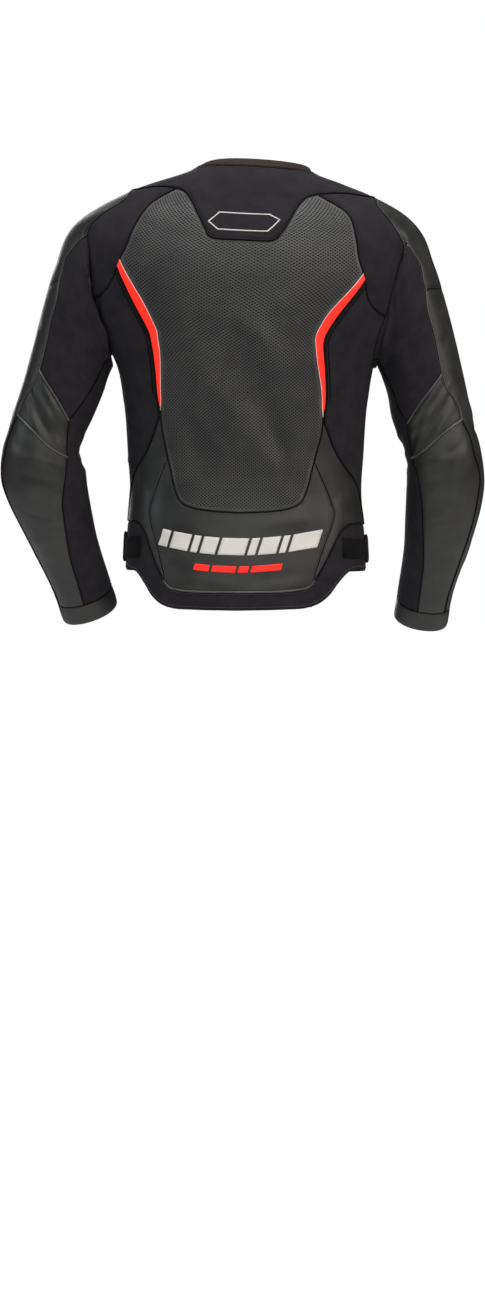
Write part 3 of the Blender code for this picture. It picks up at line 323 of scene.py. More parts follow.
def torso(p, q):
    """The torso form's points."""
    sideways = np.sin(p / QUARTER * math.pi / 2)
    taken_up = NECK_LEAN + (1 - NECK_LEAN) * np.clip(q / LEAN_WHOLE, 0, 1)
    lean = SHOULDER_LEAN * taken_up * np.clip((LEAN_GONE - q) / LEAN_FADE, 0, 1)
    ring = spline(RINGS[:, 0], RINGS[:, 1:], q - lean * QUARTER * sideways)
    side_z, half_width, back_z, back_y, front_z, front_y, mid_x, twist = np.moveaxis(ring, -1, 0)
    past_side = np.clip(np.abs(p) / QUARTER - 1, 0, 1)
    behind = np.cos(past_side * math.pi / 2) ** 2
    angle = (p + twist * behind) / QUARTER * math.pi / 2
    depth = deep(angle)
    back = depth > 0
    x = FRONT_MIDDLE + (mid_x - FRONT_MIDDLE) * behind + half_width * across(angle)
    y = np.where(back, back_y, -front_y) * depth
    z = side_z + (np.where(back, back_z, front_z) - side_z) * depth**2
    return np.stack([x, y, z], -1)


def angle_across(x, half_width):
    return np.interp(np.abs(x) / half_width, across(QUARTER_TURN), QUARTER_TURN)


def seen_on_torso(x, z, side=1):
    """(p, q) of the point that lies at x and z, on the back, or on the front where side is -1."""
    q = np.linspace(RINGS[0, 0], RINGS[-1, 0], 700)
    ring = spline(RINGS[:, 0], RINGS[:, 1:], q)
    far_z = ring[:, 2] if side > 0 else ring[:, 4]
    height = ring[:, 0] + (far_z - ring[:, 0]) * deep(angle_across(x, ring[:, 1])) ** 2
    down = np.interp(-z, -height, q)
    angle = angle_across(x, spline(RINGS[:, 0], RINGS[:, 2], down))
    if side < 0:
        angle = math.pi - angle
    return math.copysign(float(angle) / (math.pi / 2) * QUARTER, x), float(down)


def front_p(x, q):
    """p of the point x to the side of the front's middle."""
    angle = math.pi - angle_across(x, spline(RINGS[:, 0], RINGS[:, 2], q))
    return float(angle) / (math.pi / 2) * QUARTER


def armhole_table():
    """The armhole as angle, p and q, with both ends lapped so that it reads all round."""
    rows = [(angle, *seen_on_torso(x * MM, z * MM, side)) for angle, x, z, side in ARMHOLE_MM]
    before = [(a - 360, p, q) for a, p, q in rows[-3:]]
    after = [(a + 360, p, q) for a, p, q in rows[:3]]
    return np.array(before + rows + after)


ARMHOLE = armhole_table()


def armhole(angle):
    """(p, q) of the armhole at an angle round the sleeve in degrees."""
    return spline(ARMHOLE[:, 0], ARMHOLE[:, 1:], np.mod(angle, 360))


def sleeve(side, p, q):
    """A sleeve form's points: p is the angle round the arm, a millimetre to the degree."""
    rows = np.array(UPPER_ARM_MM + (LEFT_ARM_MM if side > 0 else RIGHT_ARM_MM))
    angle = np.radians(p / DEGREE + side * -SLEEVE_TURN * np.clip(q / TURN_WHOLE, 0, 1))
    outward, backward = deep(angle, ARM_SQUARENESS), across(angle, ARM_SQUARENESS)
    start = armhole(p / DEGREE)
    stations = [torso(side * start[..., 0], start[..., 1])]
    for row in rows:
        _, x_in, z_in, x_out, z_out, mid_y, half_depth, lean = row
        tilt = math.radians(lean)
        x = side * ((x_in + x_out) + (x_out - x_in) * outward) / 2
        z = ((z_in + z_out) + (z_out - z_in) * outward) / 2 - half_depth * math.sin(tilt) * backward
        y = mid_y + half_depth * math.cos(tilt) * backward
        stations.append(np.stack([x, y, z], -1) * MM)
    stations = np.stack(stations)
    knots = np.concatenate([[0], rows[:, 0] * MM])
    slopes = np.gradient(stations, knots, axis=0)
    outwards = np.full_like(angle, side * LEAVES_OUT)
    downwards = -LEAVES_DOWN * (1 + np.cos(angle))
    leaving = np.stack([outwards, -LEAVES_ACROSS * np.sin(angle), downwards], -1)
    reach = np.linalg.norm(stations[1] - stations[0], axis=-1, keepdims=True)
    slopes[0] = unit(leaving) * reach / knots[1]
    return along_stations(knots, stations, slopes, q)


def along_stations(knots, stations, slopes, q):
    """Each point's own curve through its stations, read at its own q."""
    i = np.clip(np.searchsorted(knots, q) - 1, 0, len(knots) - 2)
    step = (knots[i + 1] - knots[i])[..., None]
    t = (q - knots[i])[..., None] / step
    pick = np.arange(len(q))
    return between(stations[i, pick], slopes[i, pick], stations[i + 1, pick], slopes[i + 1, pick], step, t)


def torso_relief(p, q):
    return folds_at(p, q, TORSO_FOLDS)


def sleeve_relief(p, q):
    return folds_at(p, q, ARM_FOLDS)


FOLD_REACH = 1.35  # a fold is gone this far from its middle, where its ends are at 1


def folds_at(p, q, folds):
    """How far the folds raise the cloth: each is a soft ridge or trough that fades at its ends."""
    height = np.zeros_like(p)
    for p0, q0, p1, q1, width, rise in folds:
        run = np.array([p1 - p0, q1 - q0])
        length = np.hypot(*run)
        along = ((p - p0) * run[0] + (q - q0) * run[1]) / length**2
        aside = ((p - p0) * run[1] - (q - q0) * run[0]) / length
        fade = np.clip(FOLD_REACH - np.abs(2 * along - 1), 0, 1)
        height += rise * np.exp(-((aside / width) ** 2)) * fade * fade * (3 - 2 * fade)
    return height


def torso_folds():
    found = []
    for x0, z0, x1, z1, width, height in BACK_FOLDS + BACK_CREASES:
        start, end = seen_on_torso(x0 * MM, z0 * MM), seen_on_torso(x1 * MM, z1 * MM)
        found.append((*start, *end, width * MM, height * MM))
    return found + [tuple(v * MM for v in crease) for crease in FRONT_CREASES]


TORSO_FOLDS = torso_folds()
ARM_FOLDS = [tuple(v * MM for v in fold) for fold in SLEEVE_FOLDS + SLEEVE_CREASES]


class Form:
    """A surface that pieces are laid on: points, folds, which way its pattern faces and how wide that is."""

    def __init__(self, points, relief, facing, stretch):
        self.points, self.relief, self.facing, self.stretch = points, relief, facing, stretch

    def slopes(self, p, q):
        """How the points move with p and with q."""
        step = 0.5 * MM  # short beside every fold and seam
        by_p = self.points(p + step, q) - self.points(p - step, q)
        by_q = self.points(p, q + step) - self.points(p, q - step)
        return by_p / (2 * step), by_q / (2 * step)

    def frame(self, p, q):
        """Points, and the outward directions there."""
        return self.points(p, q), unit(np.cross(*self.slopes(p, q))) * self.facing

    def lay(self, p, q, height):
        """Points at a height above the form, with its folds."""
        at, out = self.frame(p, q)
        for tree, seam_out in ARMHOLE_SEAMS:
            found = [tree.find(place) for place in at]
            nearest = [hit[1] for hit in found]
            share = np.exp(-((np.array([hit[2] for hit in found]) / ARMHOLE_BLEND) ** 2))[:, None]
            out = unit(out * (1 - share) + seam_out[nearest] * share)
        return at + out * (height + self.relief(p, q))[:, None]


TORSO = Form(torso, torso_relief, 1, 0.94)
LEFT_SLEEVE = Form(lambda p, q: sleeve(1, p, q), sleeve_relief, -1, 1.25)
RIGHT_SLEEVE = Form(lambda p, q: sleeve(-1, p, q), sleeve_relief, 1, 1.25)
ARMHOLE_SEAMS = []
ARMHOLE_BLEND = 6 * MM  # how far from the armhole its own direction is felt


def find_armhole_seams():
    """Where torso and sleeve meet, both walls take one direction, so that they don't run together."""
    angles = np.arange(0, 360, 0.5)
    for side, form in ((1, LEFT_SLEEVE), (-1, RIGHT_SLEEVE)):
        start = armhole(angles)
        at, torso_out = TORSO.frame(side * start[:, 0], start[:, 1])
        sleeve_out = form.frame(angles * DEGREE, np.full(len(angles), 1.0 * MM))[1]
        ARMHOLE_SEAMS.append((tree_of(at), unit(torso_out + sleeve_out)))


def curve(points):
    """A smooth run through the points, with as few straight runs as keep to CURVE_ERROR."""
    points = np.asarray(points, float)
    if len(points) > 2:
        knots = np.concatenate([[0], np.cumsum(np.linalg.norm(np.diff(points, axis=0), axis=1))])
        points = spline(knots, points, np.linspace(0, knots[-1], 12 * len(points)))
    return thinned(points)


def thinned(points):
    """Douglas and Peucker's thinning of a run of points."""
    if len(points) < 3:
        return points
    start, run = points[0], points[-1] - points[0]
    aside = np.abs(np.cross(run, points - start)) / max(np.hypot(*run), 1e-9)
    far = int(aside.argmax())
    if aside[far] < CURVE_ERROR:
        return points[[0, -1]]
    return np.concatenate([thinned(points[: far + 1])[:-1], thinned(points[far:])])


def back_seam(points_mm, start=None, end=None):
    """A torso seam from its places seen from behind, with its ends put on given (p, q)."""
    points = [seen_on_torso(x * MM, z * MM) for x, z in points_mm]
    if start is not None:
        points[0] = tuple(start)
    if end is not None:
        points.append(tuple(end))
    return curve(points)


def armhole_stops(first, last):
    """Angles between two others at which both torso and sleeve have a point of the armhole."""
    fixed = (YOKE_ANGLE, CAP_BACK_ANGLE, SIDE_TOP_ANGLE, TRICEPS_ANGLE, SIDE_SEAM_ANGLE, FRONT_ANGLE)
    fixed += (CAP_FRONT_ANGLE, *range(0, 361, ARMHOLE_STEP))
    return np.array(sorted({first, last, *(a for a in fixed if first < a < last)}), float)


def armhole_run(first, last):
    """The armhole between two angles, as torso (p, q)."""
    return armhole(armhole_stops(first, last))


def sleeve_start(first, last):
    """The armhole between two angles, on the sleeve."""
    stops = armhole_stops(first, last)
    return np.stack([stops * DEGREE, 0 * stops], -1)


def joined(*runs):
    """Runs end to end, as one closed outline."""
    return np.concatenate([run[:-1] for run in runs])


def mirrored(outline):
    return (outline * (-1, 1))[::-1]


def whole(*runs):
    """An outline from runs that go from the spine round the left half and back to the spine."""
    half = np.concatenate([run if k == 0 else run[1:] for k, run in enumerate(runs)])
    return np.concatenate([half, mirrored(half)[1:-1]])


def line(start, end):
    return np.array([start, end], float)


def torso_seams():
    """The named seams of the left half, as runs of (p, q)."""
    neck, top = 0.0, RINGS[0, 0]
    shoulder = (QUARTER, neck)
    hem_side_top, hem_side_foot = (SIDE_LINE_P, HEM_TOP_SIDE_Q), (SIDE_LINE_P, HEM_EDGE_SIDE_Q)
    corner = (SIDE_SEAM_P, HEM_TOP_SIDE_Q)
    foot = (SIDE_SEAM_P, HEM_EDGE_SIDE_Q)
    levels = np.linspace(top, HEM_EDGE_SIDE_Q, 60)
    tape = np.array([(front_p(TAPE_OUTER_X, q), q) for q in levels])
    middle = np.array([(front_p(TAPE_INNER_X, q), q) for q in levels])
    neck_tape = (front_p(TAPE_OUTER_X, neck), neck)
    below = tape[:, 1] > neck
    shield_x, shield_z = HEM_TOP_INNER[0]
    side_rows = [armhole(SIDE_SEAM_ANGLE)] + [(p * MM, q * MM) for p, q in SIDE_SEAM]
    return {
        "collar_top": line((0, top), tape[0]),
        "collar_end": thinned(np.concatenate([tape[~below], [neck_tape]])),
        "neck_back": line((0, neck), shoulder),
        "neck_front": line(shoulder, neck_tape),
        "shoulder": line(shoulder, armhole(0.0)),
        "yoke_tail": back_seam(YOKE_TAIL),
        "yoke_arm": back_seam(YOKE_ARM, end=armhole(YOKE_ANGLE)),
        "panel_top_edge": back_seam(PANEL_TOP_EDGE),
        "insert_inner": back_seam(INSERT_INNER),
        "insert_top": back_seam(INSERT_TOP),
        "insert_outer": back_seam(INSERT_OUTER),
        "shoulder_lower": back_seam(SHOULDER_LOWER, end=armhole(SIDE_TOP_ANGLE)),
        "panel_side": back_seam(PANEL_SIDE),
        "panel_bottom": back_seam(PANEL_BOTTOM),
        "side_lower": back_seam(SIDE_LOWER, end=hem_side_top),
        "shield_edge": back_seam(SHIELD_EDGE, end=seen_on_torso(shield_x * MM, shield_z * MM)),
        "hem_top_outer": back_seam(HEM_TOP_OUTER, start=hem_side_top),
        "hem_top_inner": back_seam(HEM_TOP_INNER),
        "hem_top_side": line(corner, hem_side_top),
        "hem_edge": back_seam(HEM_EDGE, start=hem_side_foot),
        "hem_edge_side": line(foot, hem_side_foot),
        "side_seam": curve(side_rows),
        "hem_seam": line(corner, foot),
        "front_edge": thinned(np.concatenate([[neck_tape], tape[below]])),
        "front_foot": line(tape[-1], foot),
        "middle": thinned(middle),
        "tape_top": line(middle[0], tape[0]),
        "tape_foot": line(tape[-1], middle[-1]),
        "arm_yoke": armhole_run(0, YOKE_ANGLE),
        "arm_shoulder": armhole_run(YOKE_ANGLE, SIDE_TOP_ANGLE),
        "arm_side": armhole_run(SIDE_TOP_ANGLE, SIDE_SEAM_ANGLE),
        "arm_front": armhole_run(SIDE_SEAM_ANGLE, 360),
    }


# Pieces: name, outline as seams in turn ("-" where a seam is run backwards), wall and finish.
# A whole piece states its left half, from spine to spine.
WHOLE_PIECES = (
    ("collar", "collar_top collar_end -neck_front -neck_back", COLLAR_WALL, "neoprene"),
    ("yoke", "neck_back shoulder arm_yoke -yoke_arm -yoke_tail", TEXTILE_WALL, "textile"),
    ("back_panel", "yoke_tail panel_top_edge insert_inner panel_side panel_bottom", LEATHER_WALL, "leather"),
    ("lower_back", "-panel_bottom shield_edge hem_top_inner", LEATHER_WALL, "leather"),
    (
        "hem_band", "-hem_top_inner -hem_top_outer -hem_top_side hem_seam hem_edge_side hem_edge",
        TEXTILE_WALL, "textile",
    ),
)
PAIRED_PIECES = (
    ("back_insert", "insert_top insert_outer -insert_inner", LEATHER_WALL, "red_leather"),
    (
        "shoulder_back", "yoke_arm arm_shoulder -shoulder_lower -insert_top -panel_top_edge",
        TEXTILE_WALL, "textile",
    ),
    (
        "side", "shoulder_lower arm_side side_seam hem_top_side -side_lower -insert_outer",
        TEXTILE_WALL, "textile",
    ),
    ("lower_side", "side_lower hem_top_outer -shield_edge -panel_side", LEATHER_WALL, "leather"),
    (
        "front", "neck_front front_edge front_foot -hem_seam -side_seam arm_front -shoulder",
        LEATHER_WALL, "leather",
    ),
    ("zip_tape", "tape_top collar_end front_edge tape_foot -middle", TAPE_WALL, "zip_tape"),
)
SLEEVE_PIECES = (
    ("shoulder_cap", "cap_back cap_foot cap_front arm_cap", LEATHER_WALL, "leather"),
    (
        "sleeve_strip", "strip_upper strip_elbow strip_forearm strip_end -strip_front -cap_foot",
        LEATHER_WALL, "leather",
    ),
    ("triceps", "arm_triceps triceps_inner -elbow_top -strip_upper -cap_back", TEXTILE_WALL, "textile"),
    ("elbow", "elbow_top elbow_inner -elbow_foot -strip_elbow", LEATHER_WALL, "leather"),
    ("forearm", "elbow_foot forearm_inner forearm_end -strip_forearm", LEATHER_WALL, "leather"),
    (
        "undersleeve", "arm_under undersleeve_front under_end -forearm_inner -elbow_inner -triceps_inner",
        TEXTILE_WALL, "textile",
    ),
    (
        "front_sleeve", "arm_front_sleeve -cap_front_round strip_front_round front_end -undersleeve_front",
        LEATHER_WALL, "leather",
    ),
)


def runs_of(seams, outline):
    return [seams[name[1:]][::-1] if name[0] == "-" else seams[name] for name in outline.split()]


def torso_pieces():
    """Each torso piece's name, outline, wall and finish."""
    seams = torso_seams()
    rows = [(name, whole(*runs_of(seams, outline)), *rest) for name, outline, *rest in WHOLE_PIECES]
    for name, outline, *rest in PAIRED_PIECES:
        half = joined(*runs_of(seams, outline))
        rows += [(name + "_left", half, *rest), (name + "_right", mirrored(half), *rest)]
    return rows


def sleeve_seams():
    """The named seams of a sleeve, its starts at the armhole and its straight ends."""
    seams = {name: curve(np.array(points, float) * MM) for name, points in SLEEVE_SEAMS.items()}
    turn = np.array((360 * DEGREE, 0))
    ends = {name: run[-1] for name, run in seams.items()}
    cap_starts = sleeve_start(CAP_FRONT_ANGLE, 360)[:-1] - turn, sleeve_start(0, CAP_BACK_ANGLE)
    return seams | {
        "strip_back": np.concatenate([seams["strip_upper"], seams["strip_elbow"][1:]]),
        "cap_front_round": seams["cap_front"] + turn,
        "strip_front_round": seams["strip_front"] + turn,
        "arm_cap": np.concatenate(cap_starts),
        "arm_triceps": sleeve_start(CAP_BACK_ANGLE, TRICEPS_ANGLE),
        "arm_under": sleeve_start(TRICEPS_ANGLE, FRONT_ANGLE),
        "arm_front_sleeve": sleeve_start(FRONT_ANGLE, CAP_FRONT_ANGLE),
        "strip_end": line(ends["strip_forearm"], ends["strip_front"]),
        "forearm_end": line(ends["forearm_inner"], ends["strip_forearm"]),
        "under_end": line(ends["undersleeve_front"], ends["forearm_inner"]),
        "front_end": line(ends["strip_front"] + turn, ends["undersleeve_front"]),
        "cuff_top": line(ends["strip_front"], ends["strip_front"] + turn),
    }


def sleeve_pieces():
    """Each sleeve piece's name, outline, wall and finish, for the left sleeve's pattern."""
    seams = sleeve_seams()
    rows = [(name, joined(*runs_of(seams, outline)), *rest) for name, outline, *rest in SLEEVE_PIECES]
    (start, top), (end, _) = seams["cuff_top"]
    return rows + [("cuff", rectangle(start, end, top, SLEEVE_END), LEATHER_WALL, "leather")]


SHARPEST_MITRE = 0.03


def on_pattern(move, by_p, by_q):
    """Moves in space as moves on the pattern, where by_p and by_q say how the form's points run."""
    pp, pq, qq = (np.sum(a * b, axis=1) for a, b in ((by_p, by_p), (by_p, by_q), (by_q, by_q)))
    p_part, q_part = np.sum(by_p * move, axis=1), np.sum(by_q * move, axis=1)
    shift = np.stack([p_part * qq - q_part * pq, q_part * pp - p_part * pq], -1)
    return shift / (pp * qq - pq * pq)[:, None]


def inset(outline, form, by):
    """The outline taken in all round by a real distance, measured on the form."""
    by_p, by_q = form.slopes(*outline.T)
    out = unit(np.cross(by_p, by_q))
    turned = np.sum(outline[:, 0] * np.roll(outline[:, 1], -1) - np.roll(outline[:, 0], -1) * outline[:, 1])
    inward = []
    for step in (np.roll(outline, -1, axis=0) - outline, outline - np.roll(outline, 1, axis=0)):
        along = by_p * step[:, :1] + by_q * step[:, 1:]
        inward.append(unit(np.cross(out, along)) * np.sign(turned))
    mitre = inward[0] + inward[1]
    move = mitre / np.maximum(np.sum(mitre * inward[0], axis=1), SHARPEST_MITRE)[:, None] * by
    return outline + on_pattern(move, by_p, by_q)


# How a piece's outer face runs down to its seams: depth at the seam, width of that slope, swell beside it
Edge = namedtuple("Edge", "sink width swell")
EDGES = {
    "leather": Edge(0.7 * MM, 1.6 * MM, 0.35 * MM),
    "perforated": Edge(0.7 * MM, 1.6 * MM, 0.3 * MM),
    "red_leather": Edge(0.6 * MM, 1.3 * MM, 0.2 * MM),
    "textile": Edge(1.2 * MM, 2.2 * MM, 0.3 * MM),
    "neoprene": Edge(1.0 * MM, 2.0 * MM, 0.2 * MM),
    "hook_tape": Edge(0.3 * MM, 1.0 * MM, 0.0),
    "zip_tape": Edge(0.2 * MM, 1.0 * MM, 0.0),
}
EDGE_REACH = 30 * MM  # how far from a seam its distance is measured
SWELL_WIDTH = 7 * MM
CELL = 12 * MM
COARSE_PIECES = ("front", "front_sleeve", "undersleeve", "zip_tape")
PERFORATED = "back_panel"


def fine_piece(outline, cell, cuts):
    """A bmesh of the flat outline in facets of cell / (cuts + 1), and half that along its edge."""
    bm = bmesh.new()
    bm.faces.new([bm.verts.new((p, q, 0)) for p, q in outline])
    bm.normal_update()
    for axis in (0, 1):
        low, high = outline[:, axis].min(), outline[:, axis].max()
        for k in range(math.floor(low / cell) + 1, math.ceil(high / cell)):
            place, normal = Vector((0, 0, 0)), Vector((0, 0, 0))
            place[axis], normal[axis] = k * cell, 1
            bmesh.ops.bisect_plane(
                bm, geom=bm.verts[:] + bm.edges[:] + bm.faces[:], dist=1e-6, plane_co=place, plane_no=normal
            )
    rim = [e for e in bm.edges if e.is_boundary]
    odd = {f for e in rim for f in e.link_faces} | {f for f in bm.faces if len(f.verts) != 4}
    bmesh.ops.triangulate(bm, faces=list(odd), quad_method="BEAUTY", ngon_method="BEAUTY")
    bmesh.ops.subdivide_edges(bm, edges=bm.edges[:], cuts=cuts, use_grid_fill=True)
    near = {e for r in bm.edges if r.is_boundary for f in r.link_faces for e in f.edges}
    bmesh.ops.subdivide_edges(bm, edges=list(near), cuts=1, use_grid_fill=True)
    bmesh.ops.triangulate(bm, faces=[f for f in bm.faces if len(f.verts) > 4], ngon_method="BEAUTY")
    return bm


def dense(outline, step=1.5 * MM, closed=True):
    """Points along a run, no further apart than a step."""
    ends = np.roll(outline, -1, axis=0) if closed else outline[1:]
    starts = outline if closed else outline[:-1]
    found = []
    for start, end in zip(starts, ends):
        count = max(int(np.hypot(*(end - start)) / step), 1)
        found.append(start + (end - start) * np.arange(count)[:, None] / count)
    if not closed:
        found.append(outline[-1:])
    return np.concatenate(found)


def tree_of(points):
    tree = KDTree(len(points))
    for k, place in enumerate(points):
        tree.insert(place, k)
    tree.balance()
    return tree


def cloth(name, outline, form, wall, look, lift=0.0):
    """A thin shell of cloth on its form, with its folds, its edges sunk into the seams, and a lining."""
    fine = name.rsplit("_", 1)[0] not in COARSE_PIECES
    outline = inset(outline, form, SEAM_GAP / 2)
    bm = fine_piece(outline, CELL, 3 if fine else 2)
    flat = np.array([v.co for v in bm.verts])
    smooth = form.points(*flat[:, :2].T)
    edge_tree = tree_of(form.points(*dense(outline).T))
    seam = np.minimum([edge_tree.find(place)[2] for place in smooth], EDGE_REACH)
    edge = EDGES[look]
    height = lift + (wall if lift else 0.0)
    height = height - edge.sink * np.exp(-((seam / edge.width) ** 2))
    height = height - edge.swell * np.exp(-((seam / SWELL_WIDTH) ** 2))
    laid = form.lay(flat[:, 0], flat[:, 1], height)
    uv = bm.loops.layers.uv.new("cut")
    for face in bm.faces:
        for loop in face.loops:
            loop[uv].uv = (loop.vert.co.x * form.stretch, loop.vert.co.y)
    bm.faces.ensure_lookup_table()
    if (form.facing < 0) == (bm.faces[0].normal.z > 0):
        bmesh.ops.reverse_faces(bm, faces=bm.faces[:])
    from_seam = bm.verts.layers.float.new("seam")
    for vert, place, away in zip(bm.verts, laid, seam):
        vert.co = place
        vert[from_seam] = away / MM
    cut_area = flat_area(bm, smooth)
    mesh = bpy.data.meshes.new(name)
    bm.to_mesh(mesh)
    bm.free()
    mesh.shade_smooth()
    mesh.materials.append(FINISHES[look])
    mesh.materials.append(FINISHES["lining" if wall > TAPE_WALL else look])
    piece = new_piece(name, mesh)
    shell = piece.modifiers.new("wall", "SOLIDIFY")
    shell.thickness, shell.offset = wall, -1
    shell.material_offset = shell.material_offset_rim = 1
    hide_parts(name)
    return piece


def flat_area(bm, smooth):
    """The cloth's area on its smooth form, before its folds."""
    bm.verts.index_update()
    total = 0.0
    for face in bm.faces:
        corners = smooth[[v.index for v in face.verts]]
        for k in range(1, len(corners) - 1):
            total += np.linalg.norm(np.cross(corners[k] - corners[0], corners[k + 1] - corners[0])) / 2
    return float(total)


FINISHES = {}


def new_piece(name, mesh):
    piece = bpy.data.objects.new(name, mesh)
    bpy.context.scene.collection.objects.link(piece)
    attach(piece, "jacket")
    return piece


def tube(name, runs, radius, look, sides=2):
    """Round cord laid along runs of points, as one mesh."""
    path = bpy.data.curves.new(name, "CURVE")
    path.dimensions = "3D"
    path.bevel_depth = radius
    path.bevel_resolution = sides
    path.use_fill_caps = True
    for points in runs:
        run = path.splines.new("POLY")
        run.points.add(len(points) - 1)
        run.points.foreach_set("co", np.column_stack([points, np.ones(len(points))]).ravel())
    carrier = bpy.data.objects.new(name + "_path", path)
    bpy.context.scene.collection.objects.link(carrier)
    mesh = bpy.data.meshes.new_from_object(carrier.evaluated_get(bpy.context.evaluated_depsgraph_get()))
    bpy.data.objects.remove(carrier)
    mesh.name = name
    mesh.materials.clear()
    mesh.materials.append(FINISHES[look])
    mesh.shade_smooth()
    piece = new_piece(name, mesh)
    return piece


def beside(run, form, by):
    """An open run moved sideways over the form by a real distance."""
    by_p, by_q = form.slopes(*run.T)
    step = np.gradient(run, axis=0)
    along = by_p * step[:, :1] + by_q * step[:, 1:]
    return run + on_pattern(unit(np.cross(unit(np.cross(by_p, by_q)), along)) * by, by_p, by_q)


def even(points, step):
    """Points at even steps of length along a run in space."""
    knots = np.concatenate([[0], np.cumsum(np.linalg.norm(np.diff(points, axis=0), axis=1))])
    count = max(int(knots[-1] / step), 2)
    at = np.linspace(0, knots[-1], count)
    return np.stack([np.interp(at, knots, points[:, k]) for k in range(points.shape[1])], -1)


RUN_STEP = 2 * MM


def over(run, form, by=0.0, height=0.0):
    """A run laid in space on the form, moved sideways by a real distance."""
    run = dense(run, RUN_STEP, closed=False)
    if by:
        run = beside(run, form, by)
    return form.lay(run[:, 0], run[:, 1], np.full(len(run), height))


STITCH_GAP = 1.2 * MM


def stitches(run, form, by, height, length):
    """A row of short stitches, each a dash of thread."""
    pitch = length + STITCH_GAP
    points = even(over(run, form, by, height), 0.5 * pitch)
    dashes = []
    for start, end in zip(points[0:-1:2], points[1::2]):
        spare = (end - start) * (length / pitch - 0.5)
        dashes.append(np.array([start - spare, end + spare]))
    return dashes


# Cords on the seams: seam, radius and height in mm, look; a sunk one closes the gap between two pieces
SUNK_SEAMS = (
    "shield_edge", "side_seam", "hem_top_side", "hem_seam", "neck_back", "neck_front", "shoulder", "arm_yoke",
    "arm_shoulder", "arm_side", "arm_front", "cap_foot", "cap_front", "strip_front", "undersleeve_front",
    "cuff_top",
)
CORDS = (
    ("yoke_tail", 1.7, 0.1, "piping"),
    ("yoke_arm", 1.2, -0.2, "piping"),
    ("panel_top_edge", 1.3, -0.2, "piping"),
    ("insert_outer", 2.0, 0.0, "piping"),
    ("insert_inner", 0.45, 0.1, "print_grey"),
    ("panel_side", 1.2, -0.3, "piping"),
    ("panel_bottom", 1.1, -0.3, "piping"),
    ("side_lower", 1.5, -0.2, "piping"),
    ("shoulder_lower", 0.9, -0.5, "piping"),
    ("hem_top_outer", 1.0, -0.3, "piping"),
    ("hem_top_inner", 1.5, -0.1, "leather_trim"),
    ("front_edge", 0.9, -0.9, "piping"),
    ("cap_back", 1.0, -0.1, "leather_trim"),
    ("strip_back", 1.0, -0.1, "leather_trim"),
    ("strip_forearm", 1.1, -0.2, "piping"),
    ("elbow_top", 1.5, -0.1, "leather_trim"),
    ("elbow_foot", 1.5, -0.1, "leather_trim"),
    ("triceps_inner", 0.8, -0.5, "piping"),
    ("elbow_inner", 0.9, -0.4, "piping"),
    ("forearm_inner", 0.9, -0.5, "piping"),
    *((seam, 0.8, -1.0, "piping") for seam in SUNK_SEAMS),
)
BAND_WIDTH = 5.5 * MM  # of the raised band outside a red insert
BAND_ENDS = slice(2, -12)  # its outer edge stops this many RUN_STEPs short of the insert's ends
BAND_RADIUS, BAND_HEIGHT = 0.9 * MM, -0.1 * MM
# Rows of stitches: seam, and how far to its side in mm
SEWN = {
    "stitches_torso": (
        ("yoke_tail", 3.2), ("panel_bottom", -3.2), ("panel_side", 3.2), ("shield_edge", 1.8),
        ("shield_edge", -1.8), ("hem_top_inner", -3.4), ("hem_edge", 4.3), ("hem_edge_side", 4.3),
        ("neck_back", 3.0), ("neck_back", -3.0), ("front_edge", 4.0), ("front_edge", -3.0),
        ("side_seam", 3.0),
    ),
    "stitches_sleeves": (("cap_back", 3.0), ("strip_back", 3.0), ("cap_front", 3.0), ("strip_front", 3.0)),
}
STITCH_HEIGHT = 0.2 * MM
YOKE_STITCH_HEIGHT = 0.25 * MM


def build_cloth_of(pieces, form, ending=""):
    for name, outline, wall, finish in pieces:
        look = "perforated" if name == PERFORATED else finish
        cloth(name + ending, outline, form, wall, look)


class Graph:
    """Short ways to add nodes to a tree."""

    def __init__(self, tree):
        self.tree = tree

    def add(self, kind, inputs=(), out=0, **settings):
        node = self.tree.nodes.new(kind)
        for key, value in settings.items():
            setattr(node, key, value)
        self.fill(node, dict(inputs))
        return node.outputs[out]

    def fill(self, node, inputs):
        for key, value in inputs.items():
            if isinstance(value, bpy.types.NodeSocket):
                self.tree.links.new(value, node.inputs[key])
            else:
                node.inputs[key].default_value = value

    def parts(self, vector):
        node = self.tree.nodes.new("ShaderNodeSeparateXYZ")
        self.tree.links.new(vector, node.inputs[0])
        return node.outputs

    def math(self, operation, a, b=0.0, clamp=False):
        return self.add("ShaderNodeMath", {0: a, 1: b}, operation=operation, use_clamp=clamp)

    def noise(self, vector, scale, detail=2.0, roughness=0.5):
        return self.add(
            "ShaderNodeTexNoise", {"Vector": vector, "Scale": scale, "Detail": detail, "Roughness": roughness}
        )

    def smooth(self, value, low, high, start=0.0, end=1.0):
        inputs = {"Value": value, "From Min": low, "From Max": high, "To Min": start, "To Max": end}
        return self.add("ShaderNodeMapRange", inputs, interpolation_type="SMOOTHSTEP")

    def mix(self, share, first, second):
        inputs = {0: share, 6: first, 7: second}
        return self.add("ShaderNodeMix", inputs, out=2, data_type="RGBA")

    def group(self, name, inputs):
        node = self.tree.nodes.new("ShaderNodeGroup")
        node.node_tree = bpy.data.node_groups[name]
        self.fill(node, inputs)
        return node.outputs


def new_group(name, inputs, outputs):
    """An empty shader group with its sockets, its graph and its two ends."""
    tree = bpy.data.node_groups.new(name, "ShaderNodeTree")
    for label, kind, value in inputs:
        socket = tree.interface.new_socket(label, in_out="INPUT", socket_type=kind)
        if value is not None:
            socket.default_value = value
    for label, kind in outputs:
        tree.interface.new_socket(label, in_out="OUTPUT", socket_type=kind)
    return Graph(tree), tree.nodes.new("NodeGroupInput").outputs, tree.nodes.new("NodeGroupOutput").inputs


def close_group(graph, ends, **results):
    for label, value in results.items():
        graph.tree.links.new(value, ends[label])


